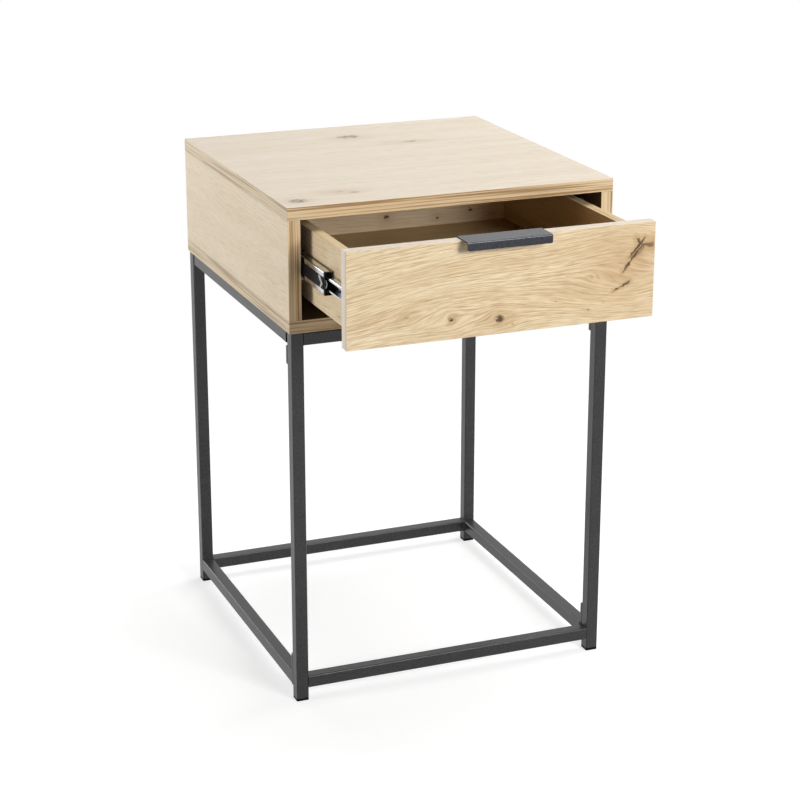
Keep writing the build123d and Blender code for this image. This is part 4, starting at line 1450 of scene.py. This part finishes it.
@dataclass
class Runner:
    """Ball-bearing runner of three members on one side of the drawer.

    Attributes:
        side: Side of the drawer.
        strip_length: Length of the black strip on the middle member's web, a painted reflection.
        strip_inset: Its distance from the member's upper and lower edges.
        strip_cut: Its cut-off corners at the rear.
        strip: Its thickness.
        latch: Thickness of the latch and of the bumper's clip.
        latch_outline: Corners of the latch, backwards from the member's front end and, in half heights of the
            strip, up from its middle.
        clip_outline: Corners of the bumper's clip, inwards from its outer face and up from its middle.
        plate_round: Rounded edges of the strip and the latch.
        clip_round: Rounded edges of the clip.
        sink: Depth by which each piece is let into what carries it.
        name: Start of the names of the runner's solids.
        outward: Sign of the way along X that leads away from the drawer.
        web: Place along X of the middle member's outer face.
        front: Place along Y of its front end.
        bottom: Height of the strip's lower edge.
        top: Height of the strip's upper edge.
        middle: Height halfway between them.
    """

    side: Side
    strip_length: float = 0.092
    strip_inset: float = 0.0058
    strip_cut: float = 0.0025
    strip: float = 0.0004
    latch: float = 0.0003
    latch_outline: Tuple[FlatPoint, ...] = (
        (0.0085, 0.97),
        (0.0078, 0.62),
        (0.0055, 0.28),
        (0.0029, 0.05),
        (0.0020, -0.12),
        (0.0029, -0.30),
        (0.0054, -0.52),
        (0.0072, -0.74),
        (0.0080, -0.97),
        (0.0114, -0.97),
        (0.0106, -0.72),
        (0.0087, -0.44),
        (0.0074, -0.20),
        (0.0087, 0.02),
        (0.0122, 0.24),
        (0.0142, 0.58),
        (0.0150, 0.97),
    )
    clip_outline: Tuple[FlatPoint, ...] = (
        (0.0008, -0.0044),
        (0.0022, -0.0044),
        (0.0031, 0.0),
        (0.0022, 0.0044),
        (0.0008, 0.0044),
        (0.0017, 0.0),
    )
    plate_round: float = 0.00012
    clip_round: float = 0.0001
    sink: float = 0.00005
    name: str = field(init=False)
    outward: float = field(init=False)
    web: float = field(init=False)
    front: float = field(init=False)
    bottom: float = field(init=False)
    top: float = field(init=False)
    middle: float = field(init=False)

    def __post_init__(self) -> None:
        """Read the middle member's place from the frame."""
        self.name = f"{self.side.value}_runner"
        self.outward = -1.0 if self.side is Side.LEFT else 1.0
        low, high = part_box(f"{self.name}_middle_member")
        self.web = self.outer(low.x, high.x)
        self.front = low.y
        self.bottom = low.z + self.strip_inset
        self.top = high.z - self.strip_inset
        self.middle = (self.bottom + self.top) / 2

    def outer(self, low: float, high: float) -> float:
        """Choose the end of a range along X that lies away from the drawer."""
        return low if self.side is Side.LEFT else high

    def dark_reflection_strip(self) -> bpy.types.Object:
        """Make the black strip on the middle member's web: a painted reflection, standing in for the web's
        dark mirror image of the shaded gap.

        Returns:
            The strip.
        """
        rear = self.front + self.strip_length
        cut = self.strip_cut
        outline = [
            (self.front, self.bottom),
            (rear - cut, self.bottom),
            (rear, self.bottom + cut),
            (rear, self.top - cut),
            (rear - cut, self.top),
            (self.front, self.top),
        ]
        start = self.web - self.outward * self.sink
        end = self.web + self.outward * self.strip
        return prism(f"{self.name}_dark_reflection_strip", Axis.X, outline, start, end, self.plate_round)

    def stamped_latch(self) -> bpy.types.Object:
        """Make the hooked latch on the glide strip.

        Returns:
            The latch.
        """
        half = (self.top - self.bottom) / 2
        outline = [(self.front + back, self.middle + half * up) for back, up in self.latch_outline]
        start = self.web + self.outward * (self.strip - self.sink)
        end = start + self.outward * self.latch
        return prism(f"{self.name}_latch", Axis.X, outline, start, end, self.plate_round)

    def bumper_clip(self) -> bpy.types.Object:
        """Make the bent clip on the front of the bumper.

        Returns:
            The clip.
        """
        low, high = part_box(f"{self.name}_bumper")
        edge = self.outer(low.x, high.x)
        outline = [(edge - self.outward * inward, self.middle + up) for inward, up in self.clip_outline]
        start = low.y - self.latch
        end = low.y + self.sink
        return prism(f"{self.name}_bumper_clip", Axis.Y, outline, start, end, self.clip_round)

    def detail(self, dresser: Dresser) -> None:
        """Add the black strip that paints the web's reflection, the latch and the bumper's clip.

        Args:
            dresser: Maker of the materials.
        """
        pieces = (
            # Painted reflection: black strip for the web's dark mirror image of the shaded gap
            (self.dark_reflection_strip(), BLACK_PLASTIC, "black_plastic"),
            (self.stamped_latch(), CAGE_STEEL, "zinc_plated_runner"),
            (self.bumper_clip(), ZINC, "zinc_plated_runner"),
        )
        for piece, finish, slot in pieces:
            piece.data.materials.append(dresser.material(finish))
            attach(piece, f"{self.side.value}_middle_slide")
            LOG.info("%s made", piece.name)

    def dress(self, dresser: Dresser) -> None:
        """Put the finishes on the runner.

        Args:
            dresser: Maker of the materials.
        """
        dresser.dress({f"{self.name}_{member}_member": ZINC for member in ("outer", "middle", "drawer")})
        for row in ("outer", "inner"):
            dresser.dress({f"{self.name}_{row}_cage": CAGE_STEEL, f"{self.name}_{row}_balls": BALL_STEEL})
        lever = f"{self.side.value}_release_lever"
        dresser.dress({f"{self.name}_bumper": BLACK_PLASTIC, lever: BLACK_PLASTIC})


@dataclass(frozen=True)
class Lamp:
    """Soft square lamp that points at the table.

    Attributes:
        name: Name of the lamp.
        place: Where it hangs.
        aim: What it points at.
        width: Width of its square.
        watts: Its power.
    """

    name: str
    place: Point
    aim: Point
    width: float
    watts: float

    def hang(self) -> bpy.types.Object:
        """Hang the lamp.

        Returns:
            The lamp.
        """
        light = bpy.data.lights.new(self.name, "AREA")
        light.shape = "SQUARE"
        light.size = self.width
        light.energy = self.watts
        lamp = bpy.data.objects.new(self.name, light)
        lamp.location = self.place
        turn = Vector(self.aim) - Vector(self.place)
        lamp.rotation_euler = turn.to_track_quat("-Z", "Y").to_euler()
        bpy.context.scene.collection.objects.link(lamp)
        return lamp


@dataclass
class Studio:
    """White studio: floor, soft air light, lamps and the camera.

    Attributes:
        floor_half: Half the floor's width.
        floor_colour: Colour of the floor that lights the table.
        seen_colour: Colour of the floor that shows.
        seen_glow: Glow of the floor that shows.
        clear_from: Distance at which the floor starts to turn plain white.
        clear_to: Distance at which it is plain white.
        white: Strength at which a glow shows as plain white.
        air: Strength of the light from all round.
        sensor: Width of the camera's sensor in millimetres.
        lens: Focal length in millimetres.
        sight: Furthest distance that the camera sees.
        camera_place: Where the camera stands.
        camera_pitch: Angle by which it looks down, in degrees.
        camera_turn: Angle by which it is turned from the table's depth, in degrees.
        lamps: The lamps.
    """

    floor_half: float = 14.0
    floor_colour: Colour = (0.65, 0.65, 0.65, 1.0)
    seen_colour: Colour = (0.50, 0.50, 0.50, 1.0)
    seen_glow: float = 0.68
    clear_from: float = 0.55
    clear_to: float = 1.6
    white: float = 1.0
    air: float = 0.01
    sensor: float = 36.0
    lens: float = 97.0
    sight: float = 100.0
    camera_place: Point = (-0.93766, -2.31285, 1.15699)
    camera_pitch: float = 18.66
    camera_turn: float = -21.69
    lamps: Tuple[Lamp, ...] = (
        Lamp("left_lamp", (-2.7, 0.1, 0.42), (-0.1, 0.0, 0.45), 0.8, 31.5),
        Lamp("front_lamp", (0.9, -2.7, 1.5), (0.0, 0.0, 0.45), 1.0, 66.0),
        Lamp("top_lamp", (0.6, 0.3, 2.9), (0.0, 0.0, 0.5), 1.4, 39.0),
        Lamp("right_lamp", (2.6, 0.6, 1.8), (0.1, 0.0, 0.4), 1.6, 26.0),
        Lamp("rear_lamp", (-0.8, 2.7, 0.75), (0.0, 0.0, 0.4), 1.2, 22.0),
    )

    def floor_finish(self) -> bpy.types.Material:
        """Make the floor's material: pale under the table and plain white further out.

        Returns:
            The material.
        """
        graph = Graph.material("studio_white")
        plain = graph.add("ShaderNodeBsdfDiffuse", None, {"Color": self.floor_colour}).outputs[0]
        seen = graph.add("ShaderNodeBsdfDiffuse", None, {"Color": self.seen_colour}).outputs[0]
        glow = graph.add("ShaderNodeEmission", None, {"Strength": self.seen_glow}).outputs[0]
        near = graph.add("ShaderNodeAddShader", None, {0: seen, 1: glow}).outputs[0]
        white = graph.add("ShaderNodeEmission", None, {"Strength": self.white}).outputs[0]
        away = graph.measure("LENGTH", graph.place).smooth(self.clear_from, self.clear_to)
        lit = graph.add("ShaderNodeMixShader", None, {0: away, 1: near, 2: white}).outputs[0]
        graph.close(graph.add("ShaderNodeMixShader", None, {0: graph.shown(), 1: plain, 2: lit}).outputs[0])
        return graph.owner

    def lay_floor(self) -> bpy.types.Object:
        """Lay the floor.

        Returns:
            The floor.
        """
        half = self.floor_half
        corners = [(-half, -half, 0.0), (half, -half, 0.0), (half, half, 0.0), (-half, half, 0.0)]
        mesh = bpy.data.meshes.new("studio_floor")
        mesh.from_pydata(corners, [], [(0, 1, 2, 3)])
        mesh.materials.append(self.floor_finish())
        floor = bpy.data.objects.new("studio_floor", mesh)
        bpy.context.scene.collection.objects.link(floor)
        return floor

    def fill_air(self) -> None:
        """Light the table evenly from all round, with white behind it."""
        graph = Graph(bpy.data.worlds.new("studio_air"), "ShaderNodeOutputWorld")
        soft = graph.add("ShaderNodeBackground", None, {"Color": WHITE, "Strength": self.air}).outputs[0]
        white = graph.add("ShaderNodeBackground", None, {"Color": WHITE, "Strength": self.white}).outputs[0]
        graph.close(graph.add("ShaderNodeMixShader", None, {0: graph.shown(), 1: soft, 2: white}).outputs[0])
        bpy.context.scene.world = graph.owner

    def set_camera(self) -> bpy.types.Object:
        """Set up the camera.

        Returns:
            The camera.
        """
        data = bpy.data.cameras.new("camera")
        data.sensor_width = self.sensor
        data.lens = self.lens
        data.clip_end = self.sight
        camera = bpy.data.objects.new("camera", data)
        camera.location = self.camera_place
        camera.rotation_euler = (math.radians(90.0 - self.camera_pitch), 0.0, math.radians(self.camera_turn))
        bpy.context.scene.collection.objects.link(camera)
        bpy.context.scene.camera = camera
        return camera

    def build(self) -> None:
        """Set up the whole studio."""
        self.set_camera()
        self.lay_floor()
        self.fill_air()
        for lamp in self.lamps:
            lamp.hang()
        bpy.context.scene.view_settings.view_transform = "Standard"
        LOG.info("studio with %d lamps", len(self.lamps))


def main() -> None:
    """Build the studio and dress the table."""
    logging.basicConfig(level=logging.INFO, format="%(message)s")
    Studio().build()
    dresser = Dresser()
    Carcass().dress(dresser)
    steel = SteelFrame()
    steel.dress(dresser)
    steel.weld(dresser)
    Drawer().dress(dresser)
    for side in Side:
        runner = Runner(side)
        runner.dress(dresser)
        runner.detail(dresser)
    dresser.dress({"runner_cabinet_screws": ZINC_SCREW, "runner_drawer_screws": ZINC_SCREW})


if __name__ == "__main__":
    main()
